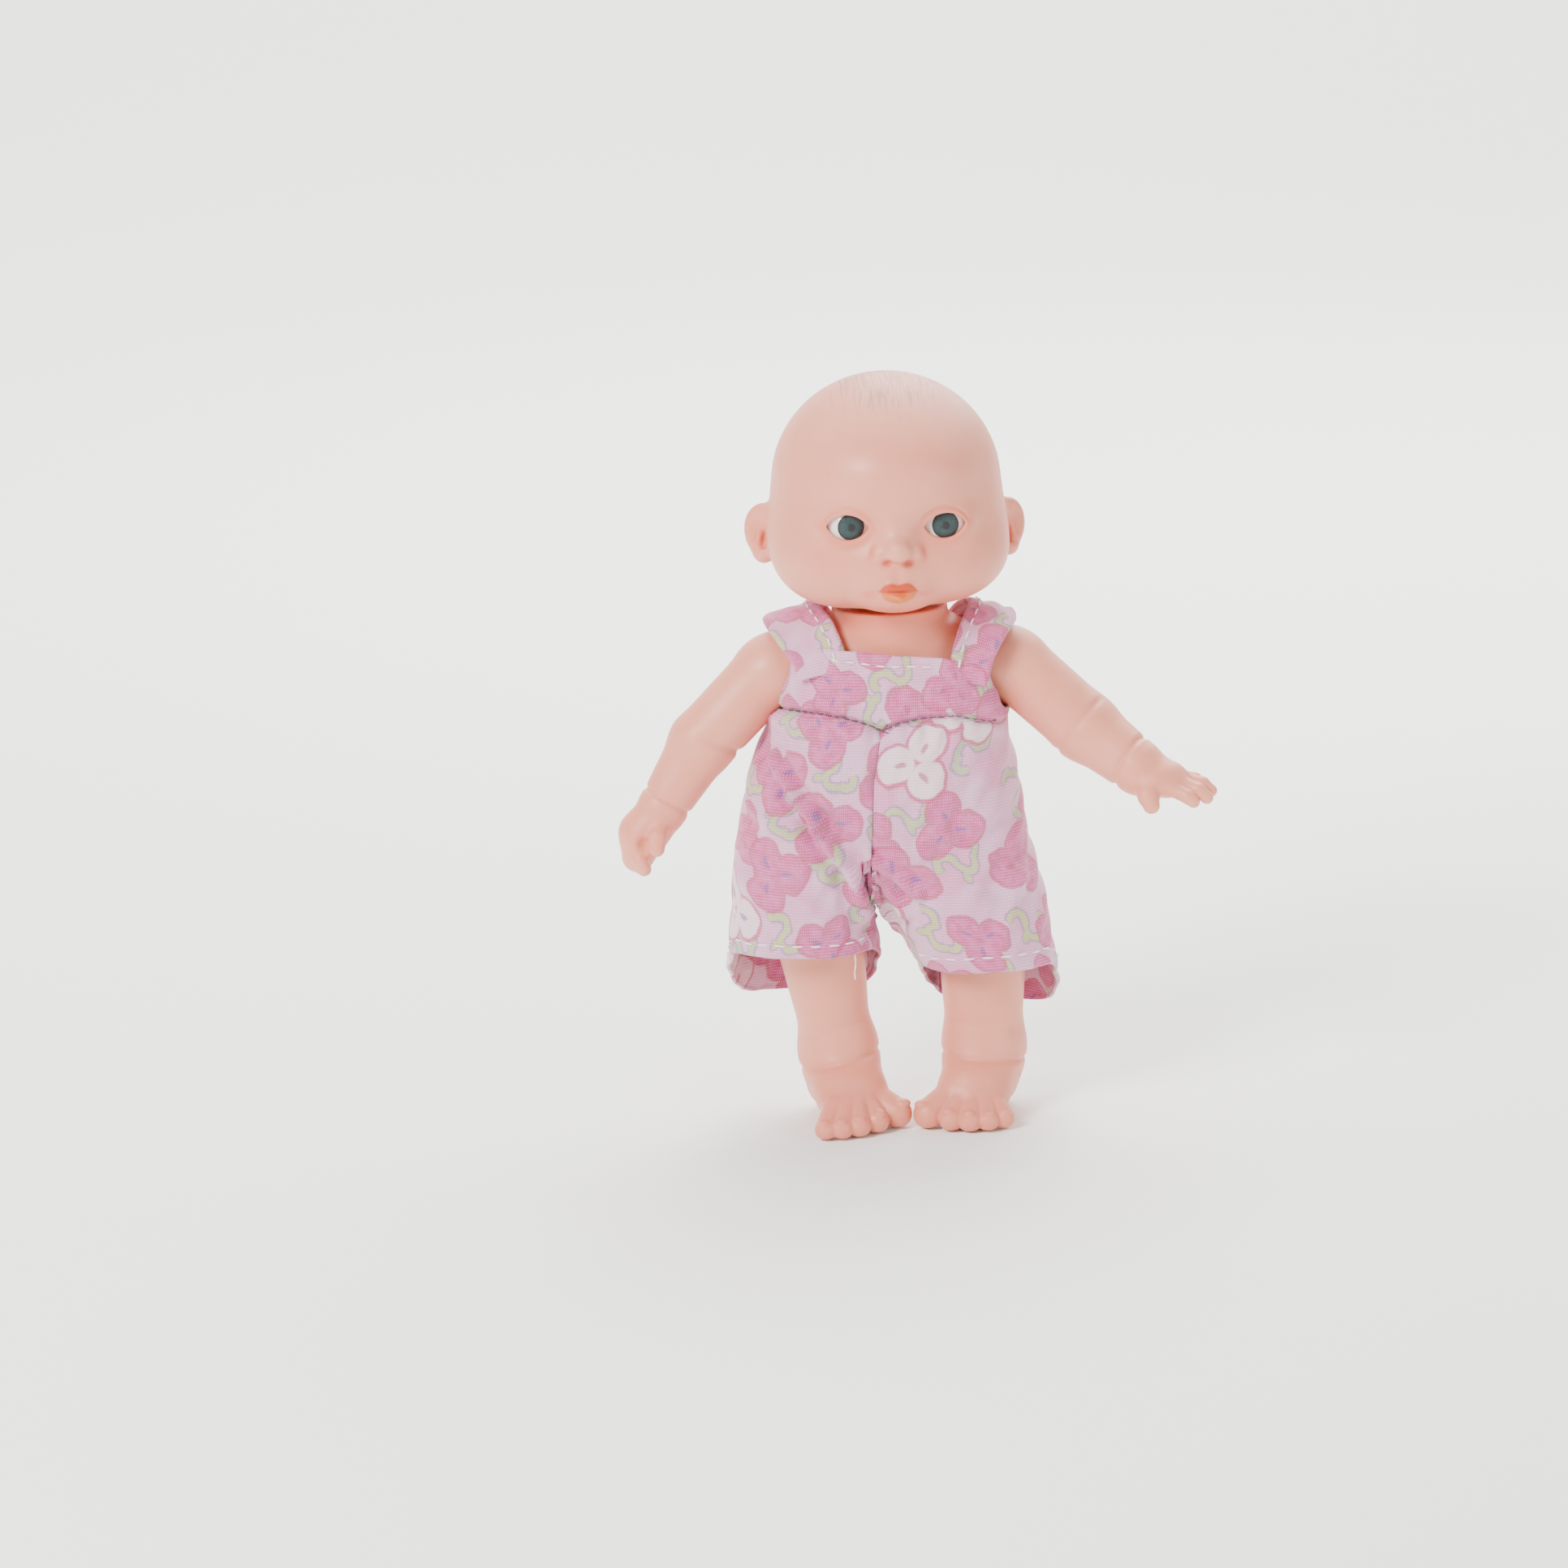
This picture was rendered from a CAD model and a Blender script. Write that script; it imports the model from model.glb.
"""Looks for the jointed baby doll. Shapes are worked out in millimetres on the doll's own axes (neck axis at
x = y = 0, soles at z = 0, facing -Y, its left side towards +X) and are moved into the frame as they are made."""

import math

import bpy
import numpy as np
from mathutils import Matrix, Vector


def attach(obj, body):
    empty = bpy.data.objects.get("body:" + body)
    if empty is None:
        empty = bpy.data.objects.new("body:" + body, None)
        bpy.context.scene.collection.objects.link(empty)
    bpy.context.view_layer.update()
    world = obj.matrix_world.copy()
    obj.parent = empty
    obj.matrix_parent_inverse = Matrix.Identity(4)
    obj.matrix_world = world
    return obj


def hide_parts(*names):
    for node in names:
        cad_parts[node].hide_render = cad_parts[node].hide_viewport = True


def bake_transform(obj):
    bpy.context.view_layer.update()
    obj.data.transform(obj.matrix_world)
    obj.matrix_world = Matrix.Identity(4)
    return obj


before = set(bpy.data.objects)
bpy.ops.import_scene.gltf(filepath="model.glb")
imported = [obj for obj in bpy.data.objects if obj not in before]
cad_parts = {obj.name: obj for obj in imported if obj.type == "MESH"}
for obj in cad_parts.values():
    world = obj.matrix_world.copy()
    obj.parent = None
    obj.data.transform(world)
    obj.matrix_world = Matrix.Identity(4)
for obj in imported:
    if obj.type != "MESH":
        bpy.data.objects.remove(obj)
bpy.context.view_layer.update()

SHIFT = np.array([-5.6, 0.05, 0.0])  # the doll's own axes in the frame, mm
MM = 0.001
SIDES = {"left": 1, "right": -1}


def row(points):
    """Points on the doll's axes, in mm, as points of the frame, in metres."""
    return (np.asarray(points, float) + SHIFT) * MM


def link(name, data):
    """A new object in the scene."""
    obj = bpy.data.objects.new(name, data)
    bpy.context.scene.collection.objects.link(obj)
    return obj


# ------------------------------------------------------------------ camera, light and floor

VIEW_CENTRE = Vector((0, 0, 100))
ELEVATION = math.radians(14)
DISTANCE = 2400
ROLL = math.radians(1.6)
AIM = (-28.6, -10.6)  # the middle of the picture, seen from the doll's middle
LENS, SENSOR = 212.4, 36


def camera():
    back = Vector((0, -math.cos(ELEVATION), math.sin(ELEVATION)))
    right = Vector((1, 0, 0))
    up = back.cross(right)
    place = VIEW_CENTRE + back * DISTANCE
    target = VIEW_CENTRE + right * AIM[0] + up * AIM[1]
    forward = (target - place).normalized()
    side = forward.cross(up).normalized()
    top = side.cross(forward)
    turn = Matrix((side, top, -forward)).transposed() @ Matrix.Rotation(-ROLL, 3, "Z")
    data = bpy.data.cameras.new("camera")
    data.lens, data.sensor_width, data.clip_start, data.clip_end = LENS, SENSOR, 0.01, 20
    cam = link("camera", data)
    cam.matrix_world = Matrix.Translation(Vector(row(place))) @ turn.to_4x4()
    bpy.context.scene.camera = cam


def lamp(name, place, size, power, colour, target=(0, 0, 110)):
    data = bpy.data.lights.new(name, "AREA")
    data.shape, data.size, data.energy, data.color = "DISK", size, power, colour
    obj = link(name, data)
    place, target = Vector(row(place)), Vector(row(target))
    obj.location = place
    obj.rotation_euler = (target - place).to_track_quat("-Z", "Y").to_euler()


def studio():
    world = bpy.data.worlds.new("studio")
    bpy.context.scene.world = world
    world.use_nodes = True
    shade = world.node_tree.nodes["Background"]
    shade.inputs["Color"].default_value = (0.86, 0.87, 0.85, 1)
    shade.inputs["Strength"].default_value = 0.66
    lamp("key", (-620, -760, 760), 0.5, 21.0, (1.0, 0.985, 0.97))
    lamp("fill", (760, -620, 300), 0.9, 4.6, (1.0, 0.93, 0.87))
    lamp("rim", (250, 700, 700), 0.8, 8.0, (1.0, 0.99, 1.0))
    lamp("top", (0, 900, 1500), 1.2, 30.0, (1.0, 1.0, 0.99), target=(0, 500, 0))
    for n, x in enumerate((-900, 900)):
        lamp(f"backdrop_{n}", (x, 600, 1500), 1.0, 22.0, (1.0, 1.0, 0.99), target=(x * 0.4, 1900, 900))
    # A floor that curves up into a backdrop, far behind.
    profile = [(-6.0, 0.0), (1.2, 0.0)]
    profile += [(1.2 + 0.6 * math.sin(a), 0.6 - 0.6 * math.cos(a)) for a in np.linspace(0, math.pi / 2, 16)[1:]]
    profile.append((1.8, 3.0))
    points = [(x, y, z) for x in (-6.0, 6.0) for y, z in profile]
    count = len(profile)
    faces = [(i, i + count, i + count + 1, i + 1) for i in range(count - 1)]
    mesh = bpy.data.meshes.new("backdrop")
    mesh.from_pydata(points, [], faces)
    mesh.shade_smooth()
    link("backdrop", mesh)
    paint = Nodes("backdrop")
    paint.finish((0.95, 0.96, 0.935), roughness=0.9)
    mesh.materials.append(paint.material)


# ------------------------------------------------------------------ materials


class Nodes:
    """A small builder for one material's node tree."""

    def __init__(self, name):
        self.material = bpy.data.materials.new(name)
        self.material.use_nodes = True
        self.tree = self.material.node_tree
        self.shader = self.tree.nodes["Principled BSDF"]

    def new(self, kind, inputs=(), **settings):
        node = self.tree.nodes.new(kind)
        for key, value in settings.items():
            setattr(node, key, value)
        for key, value in dict(inputs).items():
            self.put(node.inputs[key], value)
        return node

    def put(self, socket, value):
        if isinstance(value, bpy.types.NodeSocket):
            self.tree.links.new(value, socket)
        elif isinstance(value, (tuple, list)) and len(value) == 3 and socket.type == "RGBA":
            socket.default_value = (*value, 1)
        else:
            socket.default_value = value

    def math(self, operation, a, b=0.0, c=None, clamp=False):
        node = self.new("ShaderNodeMath", operation=operation, use_clamp=clamp)
        self.put(node.inputs[0], a)
        self.put(node.inputs[1], b)
        if c is not None:
            self.put(node.inputs[2], c)
        return node.outputs[0]

    def step(self, value, low, high, out_low=0.0, out_high=1.0):
        """A smooth step of value from low to high."""
        node = self.new("ShaderNodeMapRange", interpolation_type="SMOOTHSTEP")
        for key, item in zip(("Value", "From Min", "From Max", "To Min", "To Max"),
                             (value, low, high, out_low, out_high)):
            self.put(node.inputs[key], item)
        return node.outputs["Result"]

    def mix(self, factor, a, b, blend="MIX"):
        node = self.new("ShaderNodeMix", data_type="RGBA", blend_type=blend)
        self.put(node.inputs[0], factor)
        self.put(node.inputs[6], a)
        self.put(node.inputs[7], b)
        return node.outputs[2]

    def place(self, scale=1.0):
        """The surface's place on the object, in mm times scale."""
        coord = self.new("ShaderNodeTexCoord").outputs["Object"]
        return self.new("ShaderNodeMapping", {"Vector": coord, "Scale": (1000 * scale,) * 3}).outputs[0]

    def noise(self, vector, scale, detail=3.0, rough=0.55, out="Fac"):
        node = self.new("ShaderNodeTexNoise", {"Vector": vector, "Scale": scale, "Detail": detail,
                                               "Roughness": rough})
        return node.outputs[out]

    def attribute(self, name):
        return self.new("ShaderNodeAttribute", attribute_name=name).outputs["Fac"]

    def attribute_vector(self, name):
        return self.new("ShaderNodeAttribute", attribute_name=name).outputs["Vector"]

    def bump(self, height, distance_mm, strength=1.0, normal=None):
        inputs = {"Height": height, "Distance": distance_mm * MM, "Strength": strength}
        if normal is not None:
            inputs["Normal"] = normal
        return self.new("ShaderNodeBump", inputs).outputs[0]

    def finish(self, colour, roughness=0.5, normal=None, **constants):
        self.put(self.shader.inputs["Base Color"], colour)
        self.put(self.shader.inputs["Roughness"], roughness)
        if normal is not None:
            self.put(self.shader.inputs["Normal"], normal)
        for key, value in constants.items():
            self.put(self.shader.inputs[key.replace("_", " ")], value)
        return self.material


def skin(name, hair=False):
    """Soft vinyl: a satin surface, faint blotches, warm blush and painted lips and hair where marked."""
    n = Nodes(name)
    place = n.place()
    mottle = n.noise(place, 0.045, 4)
    colour = n.mix(n.step(mottle, 0.35, 0.65), (0.745, 0.29, 0.20), (0.775, 0.32, 0.225))
    blush = n.attribute("blush")
    colour = n.mix(n.math("MULTIPLY", blush, 0.85), colour, (0.72, 0.17, 0.10))
    if hair:
        strokes = n.new("ShaderNodeTexNoise", {"Vector": n.attribute_vector("strands"), "Scale": 1.0,
                                               "Detail": 2.0, "Roughness": 0.6}).outputs["Fac"]
        lines = n.step(strokes, 0.46, 0.60)
        amount = n.math("MULTIPLY", lines, n.attribute("hair"), clamp=True)
        colour = n.mix(amount, colour, (0.22, 0.13, 0.11))
        upper = n.mix(n.noise(place, 0.5), (0.50, 0.040, 0.004), (0.57, 0.06, 0.008))
        lower = n.mix(n.noise(place, 0.5), (0.62, 0.13, 0.015), (0.69, 0.19, 0.03))
        colour = n.mix(n.attribute("lip_low"), colour, lower)
        colour = n.mix(n.attribute("lip_high"), colour, upper)
    grain = n.noise(place, 2.2, 2)
    wear = n.noise(place, 0.12, 4)
    rough = n.step(wear, 0.3, 0.7, 0.41, 0.52)
    normal = n.bump(grain, 0.03, 0.35)
    return n.finish(colour, rough, normal, Subsurface_Weight=0.22, Subsurface_Radius=(1.0, 0.35, 0.22),
                    Subsurface_Scale=0.0022, IOR=1.45, Coat_Weight=0.05, Coat_Roughness=0.3)


def plain(name, colour_a, colour_b, rough, metallic=0.0, scale=0.5, bump=0.02, **constants):
    """A moulded or metal surface: two close tones, uneven gloss and fine grain."""
    n = Nodes(name)
    place = n.place()
    tone = n.noise(place, scale, 4)
    colour = n.mix(n.step(tone, 0.3, 0.7), colour_a, colour_b)
    gloss = n.step(n.noise(place, scale * 3, 3), 0.3, 0.7, rough * 0.8, rough * 1.2)
    return n.finish(colour, gloss, n.bump(n.noise(place, scale * 9, 2), bump, 0.5), Metallic=metallic, **constants)


# ------------------------------------------------------------------ meshes


def declare(obj, body, nodes):
    """Tells the frame which body a piece rides on, unless it is blended later, and what it stands for."""
    if body:
        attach(obj, body)
    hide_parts(*nodes)
    return obj


def add_object(name, mesh, body, nodes):
    return declare(link(name, mesh), body, nodes)


def quick_mesh(name, points, quads, material, marks=None, smooth=True):
    """A mesh from numpy arrays of points on the doll's axes and of faces with the same number of corners."""
    points = row(points)
    quads = np.asarray(quads, np.int32)
    mesh = bpy.data.meshes.new(name)
    mesh.vertices.add(len(points))
    mesh.vertices.foreach_set("co", points.astype(np.float32).ravel())
    corners = quads.shape[1]
    mesh.loops.add(quads.size)
    mesh.loops.foreach_set("vertex_index", quads.ravel())
    mesh.polygons.add(len(quads))
    mesh.polygons.foreach_set("loop_start", np.arange(0, quads.size, corners, dtype=np.int32))
    mesh.update(calc_edges=True)
    mesh.validate()
    if smooth:
        mesh.shade_smooth()
    for mark, values in (marks or {}).items():
        if values.ndim == 2:
            layer = mesh.attributes.new(mark, "FLOAT_VECTOR", "POINT")
            layer.data.foreach_set("vector", values.astype(np.float32).ravel())
        else:
            layer = mesh.attributes.new(mark, "FLOAT", "POINT")
            layer.data.foreach_set("value", values.astype(np.float32))
    if material:
        mesh.materials.append(material)
    return mesh


BLOCK = 8
CORNERS = np.array([(i, j, k) for i in (0, 1) for j in (0, 1) for k in (0, 1)])
EDGES = [(a, b) for a in range(8) for b in range(a + 1, 8) if np.abs(CORNERS[a] - CORNERS[b]).sum() == 1]


def field_surface(field, low, high, step):
    """The zero surface of a signed distance field inside a box, as points and outward quads."""
    low = np.asarray(low, float)
    blocks = np.ceil((np.asarray(high, float) - low) / (step * BLOCK)).astype(int)
    centres = np.stack(np.meshgrid(*[np.arange(b) for b in blocks], indexing="ij"), -1).reshape(-1, 3)
    coarse = field(low + (centres + 0.5) * BLOCK * step)
    near = np.abs(coarse) < BLOCK * step * 1.3 + 0.6
    grid = np.repeat(np.repeat(np.repeat(coarse.reshape(blocks), BLOCK, 0), BLOCK, 1), BLOCK, 2).astype(np.float32)
    inside = np.stack(np.meshgrid(*[np.arange(BLOCK)] * 3, indexing="ij"), -1).reshape(-1, 3)
    for chunk in np.array_split(centres[near], max(1, near.sum() // 800)):
        index = (chunk[:, None] * BLOCK + inside[None]).reshape(-1, 3)
        grid[index[:, 0], index[:, 1], index[:, 2]] = field(low + index * step)
    solid = grid < 0
    size = np.array(grid.shape) - 1
    total = sum(solid[i:size[0] + i, j:size[1] + j, k:size[2] + k].astype(np.int8) for i, j, k in CORNERS)
    cells = np.argwhere((total > 0) & (total < 8))
    number = np.full(size, -1, np.int32)
    number[cells[:, 0], cells[:, 1], cells[:, 2]] = np.arange(len(cells))
    values = np.stack([grid[tuple((cells + c).T)] for c in CORNERS], 1)
    middle, hits = np.zeros((len(cells), 3)), np.zeros(len(cells))
    for a, b in EDGES:
        crossing = (values[:, a] < 0) != (values[:, b] < 0)
        share = np.where(crossing, values[:, a] / np.where(crossing, values[:, a] - values[:, b], 1), 0)
        spot = CORNERS[a] + share[:, None] * (CORNERS[b] - CORNERS[a])
        middle += np.where(crossing[:, None], spot, 0)
        hits += crossing
    points = low + (cells + middle / hits[:, None]) * step
    faces = []
    for axis in range(3):
        u, v = (axis + 1) % 3, (axis + 2) % 3
        ends = [slice(0, n + 1) for n in size]
        first, second = list(ends), list(ends)
        first[axis], second[axis] = slice(0, size[axis]), slice(1, size[axis] + 1)
        a, b = solid[tuple(first)], solid[tuple(second)]
        place = np.argwhere(a != b)
        place = place[(place[:, u] > 0) & (place[:, v] > 0) & (place[:, u] < size[u]) & (place[:, v] < size[v])]
        outward = a[tuple(place.T)]
        around = []
        for du, dv in ((-1, -1), (0, -1), (0, 0), (-1, 0)):
            cell = place.copy()
            cell[:, u] += du
            cell[:, v] += dv
            around.append(number[tuple(cell.T)])
        quad = np.stack(around, 1)
        faces.append(np.where(outward[:, None], quad, quad[:, ::-1]))
    for _ in range(3):
        value = field(points)
        slope = gradient(field, points)
        steep = np.maximum(np.linalg.norm(slope, axis=1), 1e-6)
        move = np.clip(value / steep, -0.4 * step, 0.4 * step) / steep
        points = points - slope * move[:, None]
    return points, np.concatenate(faces)


def gradient(field, points, reach=0.04):
    slope = np.empty_like(points)
    for axis in range(3):
        offset = np.zeros(3)
        offset[axis] = reach
        slope[:, axis] = (field(points + offset) - field(points - offset)) / (2 * reach)
    return slope


# ------------------------------------------------------------------ distance fields


def smin(a, b, k):
    h = np.maximum(k - np.abs(a - b), 0) / k
    return np.minimum(a, b) - h * h * k / 4


def smax(a, b, k):
    return -smin(-a, -b, k)


def ball(p, centre, radius):
    return np.linalg.norm(p - np.asarray(centre, float), axis=1) - radius


def ellipsoid(p, centre, radii, axes=None):
    q = p - np.asarray(centre, float)
    if axes is not None:
        q = q @ np.asarray(axes, float).T
    radii = np.asarray(radii, float)
    k0 = np.linalg.norm(q / radii, axis=1)
    k1 = np.linalg.norm(q / radii ** 2, axis=1)
    return k0 * (k0 - 1) / np.maximum(k1, 1e-6)


def bone(p, a, b, ra, rb):
    a, b = np.asarray(a, float), np.asarray(b, float)
    along = b - a
    t = np.clip((p - a) @ along / (along @ along), 0, 1)
    return np.linalg.norm(p - a - t[:, None] * along, axis=1) - (ra + (rb - ra) * t)


def tube_z(p, radius, low, high, x=0.0, y=0.0):
    r = np.hypot(p[:, 0] - x, p[:, 1] - y) - radius
    return np.maximum(r, np.maximum(low - p[:, 2], p[:, 2] - high))


def slab(p, low, high):
    low, high = np.asarray(low, float), np.asarray(high, float)
    q = np.abs(p - (low + high) / 2) - (high - low) / 2
    return np.linalg.norm(np.maximum(q, 0), axis=1) + np.minimum(q.max(1), 0)


def groove(p, point, normal, width, depth):
    """How far a crease across a limb lifts the field: a narrow bell round a plane."""
    normal = np.asarray(normal, float) / np.linalg.norm(normal)
    off = (p - np.asarray(point, float)) @ normal
    return depth * np.exp(-(off / width) ** 2)


def soft(value, low, high):
    t = np.clip((value - low) / (high - low), 0, 1)
    return t * t * (3 - 2 * t)


def mirrored(p):
    return np.column_stack((np.abs(p[:, 0]), p[:, 1], p[:, 2]))


# ------------------------------------------------------------------ head

HEAD_YAW = math.radians(5)
EYE = np.array([12.1, -19.9, 162.6])
EYE_R = 6.6
MOUTH_Z = 146.0
HEAD_LEAN = math.radians(1.3)  # towards its left


def unyaw(p):
    """Points of the doll as points of a head that looks straight ahead and holds itself upright."""
    lean = HEAD_LEAN * soft(p[:, 2], 141, 152)
    c, s = math.cos(HEAD_YAW), math.sin(HEAD_YAW)
    x, y = p[:, 0] * c + p[:, 1] * s, -p[:, 0] * s + p[:, 1] * c
    return np.column_stack((x - lean * (p[:, 2] - 160), y, p[:, 2] + lean * x))


def yaw(p):
    """The way back, for points of the face."""
    c, s = math.cos(HEAD_YAW), math.sin(HEAD_YAW)
    x, y, z = p[:, 0] + HEAD_LEAN * (p[:, 2] - 160), p[:, 1], p[:, 2] - HEAD_LEAN * p[:, 0]
    return np.column_stack((x * c - y * s, x * s + y * c, z))


EAR_OUT = np.array([0.80, 0.60, 0.0])
EAR_FACE = np.array([0.60, -0.80, 0.0])
EAR_AXES = np.array([EAR_OUT, EAR_FACE, (0, 0, 1)])
EAR_CENTRE = np.array([31.2, 3.2, 155.7])


def ear_field(m):
    shell = ellipsoid(m, EAR_CENTRE, (6.3, 2.5, 7.4), EAR_AXES)
    lobe = ball(m, EAR_CENTRE + EAR_OUT * 0.6 + EAR_FACE * 0.3 + (0, 0, -5.7), 2.3)
    shell = smin(shell, lobe, 2.0)
    bowl = ellipsoid(m, EAR_CENTRE + EAR_FACE * 2.7 + EAR_OUT * 0.9 + (0, 0, 0.9), (3.7, 2.0, 5.1), EAR_AXES)
    shell = smax(shell, -bowl, 1.3)
    deep = ellipsoid(m, EAR_CENTRE + EAR_FACE * 1.2 - EAR_OUT * 0.6 + (0, 0, -1.6), (2.0, 1.6, 2.6), EAR_AXES)
    shell = smax(shell, -deep, 1.2)
    fold = bone(m, EAR_CENTRE + EAR_FACE * 1.1 + EAR_OUT * 1.6 + (0, 0, -3), EAR_CENTRE + EAR_FACE * 1.0 + (0, 0, 4.3),
                0.8, 0.6)
    return smin(shell, fold, 1.3)


def lens2(a, b, half_w, half_h):
    """A two-arc almond in the plane, negative inside."""
    radius = (half_w ** 2 + half_h ** 2) / (2 * half_h)
    off = radius - half_h
    return np.maximum(np.hypot(a, b + off), np.hypot(a, b - off)) - radius


def head_field(p):
    p = unyaw(p)
    m = mirrored(p)
    mouth = np.array((0, 0, MOUTH_Z))
    d = ellipsoid(p, (0, 2, 168.5), (29.6, 31, 28.3))
    d = smin(d, ellipsoid(p, (0, -3.0, 154.4), (30.6, 26.3, 16.3)), 9)
    d = smin(d, ellipsoid(m, (12.8, -8.5, 151.2), (16.8, 16.5, 12.2)), 4)
    # soft hollows beside the nose and round the eyes, then the brow
    d = smax(d, -ellipsoid(m, (12.0, -36.2, EYE[2] - 1.2), (8.5, 9.6, 5.5)), 6)
    d = smin(d, ellipsoid(p, (0, -16, 176), (17, 13.8, 9)), 9)
    # muzzle, chin and nose
    d = smin(d, ellipsoid(p, (0, -22.4, 147.9), (9.5, 8.1, 6.0)), 5)
    d = smin(d, ellipsoid(p, (0, -19.6, 143.6), (8.5, 7.6, 3.9)), 5)
    d = smin(d, bone(p, (0, -25.0, 163.0), (0, -28.2, 158.6), 2.2, 2.6), 5)
    nose = smin(ball(p, (0, -30.8, 157.2), 3.3), ball(m, (4.4, -28.7, 155.9), 2.2), 1.0)
    d = smin(d, nose, 1.3)
    d = smax(d, -ellipsoid(m, (2.5, -31.0, 153.9), (1.5, 1.9, 0.95)), 0.8)
    d = smax(d, -bone(p, (0, -31.6, 153.4), (0, -32.0, 150.4), 0.9, 1.3), 1.4)
    # lips: a bow above, a pout below, a shallow opening between
    high = smin(bone(m, mouth + (0.4, -30.3, 1.45), mouth + (2.1, -30.1, 1.85), 1.0, 1.0),
                bone(m, mouth + (2.1, -30.1, 1.85), mouth + (5.1, -28.3, 0.2), 1.0, 0.3), 0.9)
    low = bone(m, mouth + (0.0, -30.1, -1.2), mouth + (2.9, -29.2, -0.9), 1.65, 1.0)
    d = smin(d, high, 1.2)
    d = smin(d, low, 1.0)
    d = smax(d, -ellipsoid(p, mouth + (0, -31.7, 0.1), (3.6, 1.5, 0.5)), 0.7)
    crease = bone(m, mouth + (5.2, -29.4, 0.0), mouth + (7.8, -28.2, -0.7), 0.5, 0.3)
    d = smax(d, -crease, 1.2)
    d = smax(d, -bone(m, mouth + (0.0, -31.2, -3.6), mouth + (4.5, -30.0, -3.0), 0.8, 0.6), 1.8)
    # eyelids round an almond opening
    d = smin(d, ellipsoid(m, EYE + (0.3, 0.3, 0.1), (8.2, 8.0, 5.9)), 3.0)
    ring = lens2(m[:, 0] - EYE[0] - 0.4, p[:, 2] - EYE[2] - 0.1, 6.6, 4.9)
    d += 0.28 * np.exp(-(ring / 0.45) ** 2) * (p[:, 1] < -15) * np.clip((p[:, 2] - EYE[2] - 0.6) / 1.5, 0, 1)
    slope = (p[:, 2] - EYE[2]) - 0.04 * (m[:, 0] - EYE[0])
    opening = np.maximum(lens2(m[:, 0] - EYE[0] - 0.4, slope, 5.4, 3.3), p[:, 1] + 17)
    d = smax(d, -opening, 0.55)
    # ears, neck ring and the hole for the neck
    d = smin(d, ear_field(m), 1.6)
    d = smin(d, tube_z(p, 14, 138.2, 147), 1.5)
    d = np.maximum(d, 138.2 - p[:, 2])
    hole = np.minimum(tube_z(p, 9.8, 130, 141), tube_z(p, 12.2, 140.6, 148))
    return np.maximum(d, -hole)


def head_marks(points):
    """Where the blush, the painted lips and the painted hair lie."""
    p = unyaw(points)
    x, y, z = p.T
    m = mirrored(p)
    front = soft(-y, 20, 25)
    above = z - MOUTH_Z
    line = -0.1 + 0.008 * x * x
    bow = np.where(np.abs(x) < 2.1, 2.45 + 0.2 * np.abs(x), 2.87 - 0.3 * (np.abs(x) - 2.1) ** 2)
    high = soft(bow - above, -0.2, 0.2) * soft(above - line, -0.2, 0.2) * soft(5.3 - np.abs(x), -0.2, 0.5) * front
    bottom = -2.75 * np.sqrt(np.clip(1 - (x / 4.4) ** 2, 0, 1))
    low = soft(line - above, -0.2, 0.2) * soft(above - bottom, -0.25, 0.3) * soft(4.6 - np.abs(x), -0.2, 0.4) * front
    cheek = np.exp(-(((np.abs(x) - 17) / 9) ** 2 + ((z - 154) / 7) ** 2)) * front
    eyes = np.exp(-(lens2(m[:, 0] - EYE[0] - 0.4, z - EYE[2], 6.4, 4.4) / 1.2) ** 2) * front
    near_lips = np.exp(-((x / 9) ** 2 + (above / 3.4) ** 2)) * front * 0.3
    corners = np.exp(-(((np.abs(x) - 7.6) / 2.2) ** 2 + ((above + 0.8) / 1.3) ** 2)) * front * 0.6
    nose = np.exp(-(((np.abs(x) - 3.0) / 2.3) ** 2 + ((z - 153.8) / 1.3) ** 2)) * front * 0.75
    wings = np.exp(-(((np.abs(x) - 6.9) / 0.9) ** 2 + ((z - 156.0) / 2.4) ** 2)) * front * 0.7
    tip = np.exp(-((x / 4.5) ** 2 + ((z - 158.5) / 4) ** 2)) * front * 0.2
    under = soft(145 - z, 0, 6) * 0.9
    ear = np.exp(-(np.linalg.norm(m - (EAR_CENTRE + EAR_FACE * 0.8 + (0, 0, -1.5)), axis=1) / 3.4) ** 2) * 0.8
    blush = np.clip(0.2 - tip + cheek * 0.3 + eyes * 0.55 + near_lips + corners + nose + wings + under + ear, 0, 1)
    # Painted hair: short fine strands on the crown that point down to the forehead.
    across = x + 1.0
    edge = 190.2 + 1.2 * np.sin(across * 1.9) + 0.8 * np.sin(across * 4.3 + 1) + 0.010 * across ** 2
    hair = soft(z - edge, -1.0, 4.0) * soft(19.5 - np.abs(across), 0, 5) * soft(-y, -22, -8) * 0.55
    fan = across / (1 + 0.02 * (197 - z))
    strands = np.column_stack((fan * 2.6 + 0.5 * np.sin(z * 0.5), z * 0.12 + y * 0.05, np.zeros(len(x))))
    return {"blush": blush, "lip_high": high, "lip_low": low, "hair": hair, "strands": strands}


def make_head():
    points, quads = field_surface(head_field, (-39, -36, 137), (39, 36, 201), 0.42)
    mesh = quick_mesh("head_vinyl", points, quads, skin("vinyl_head", hair=True), head_marks(points))
    add_object("head_vinyl", mesh, "head", ["head_shell"])
    for side, sign in SIDES.items():
        make_eye(side, sign)


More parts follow.
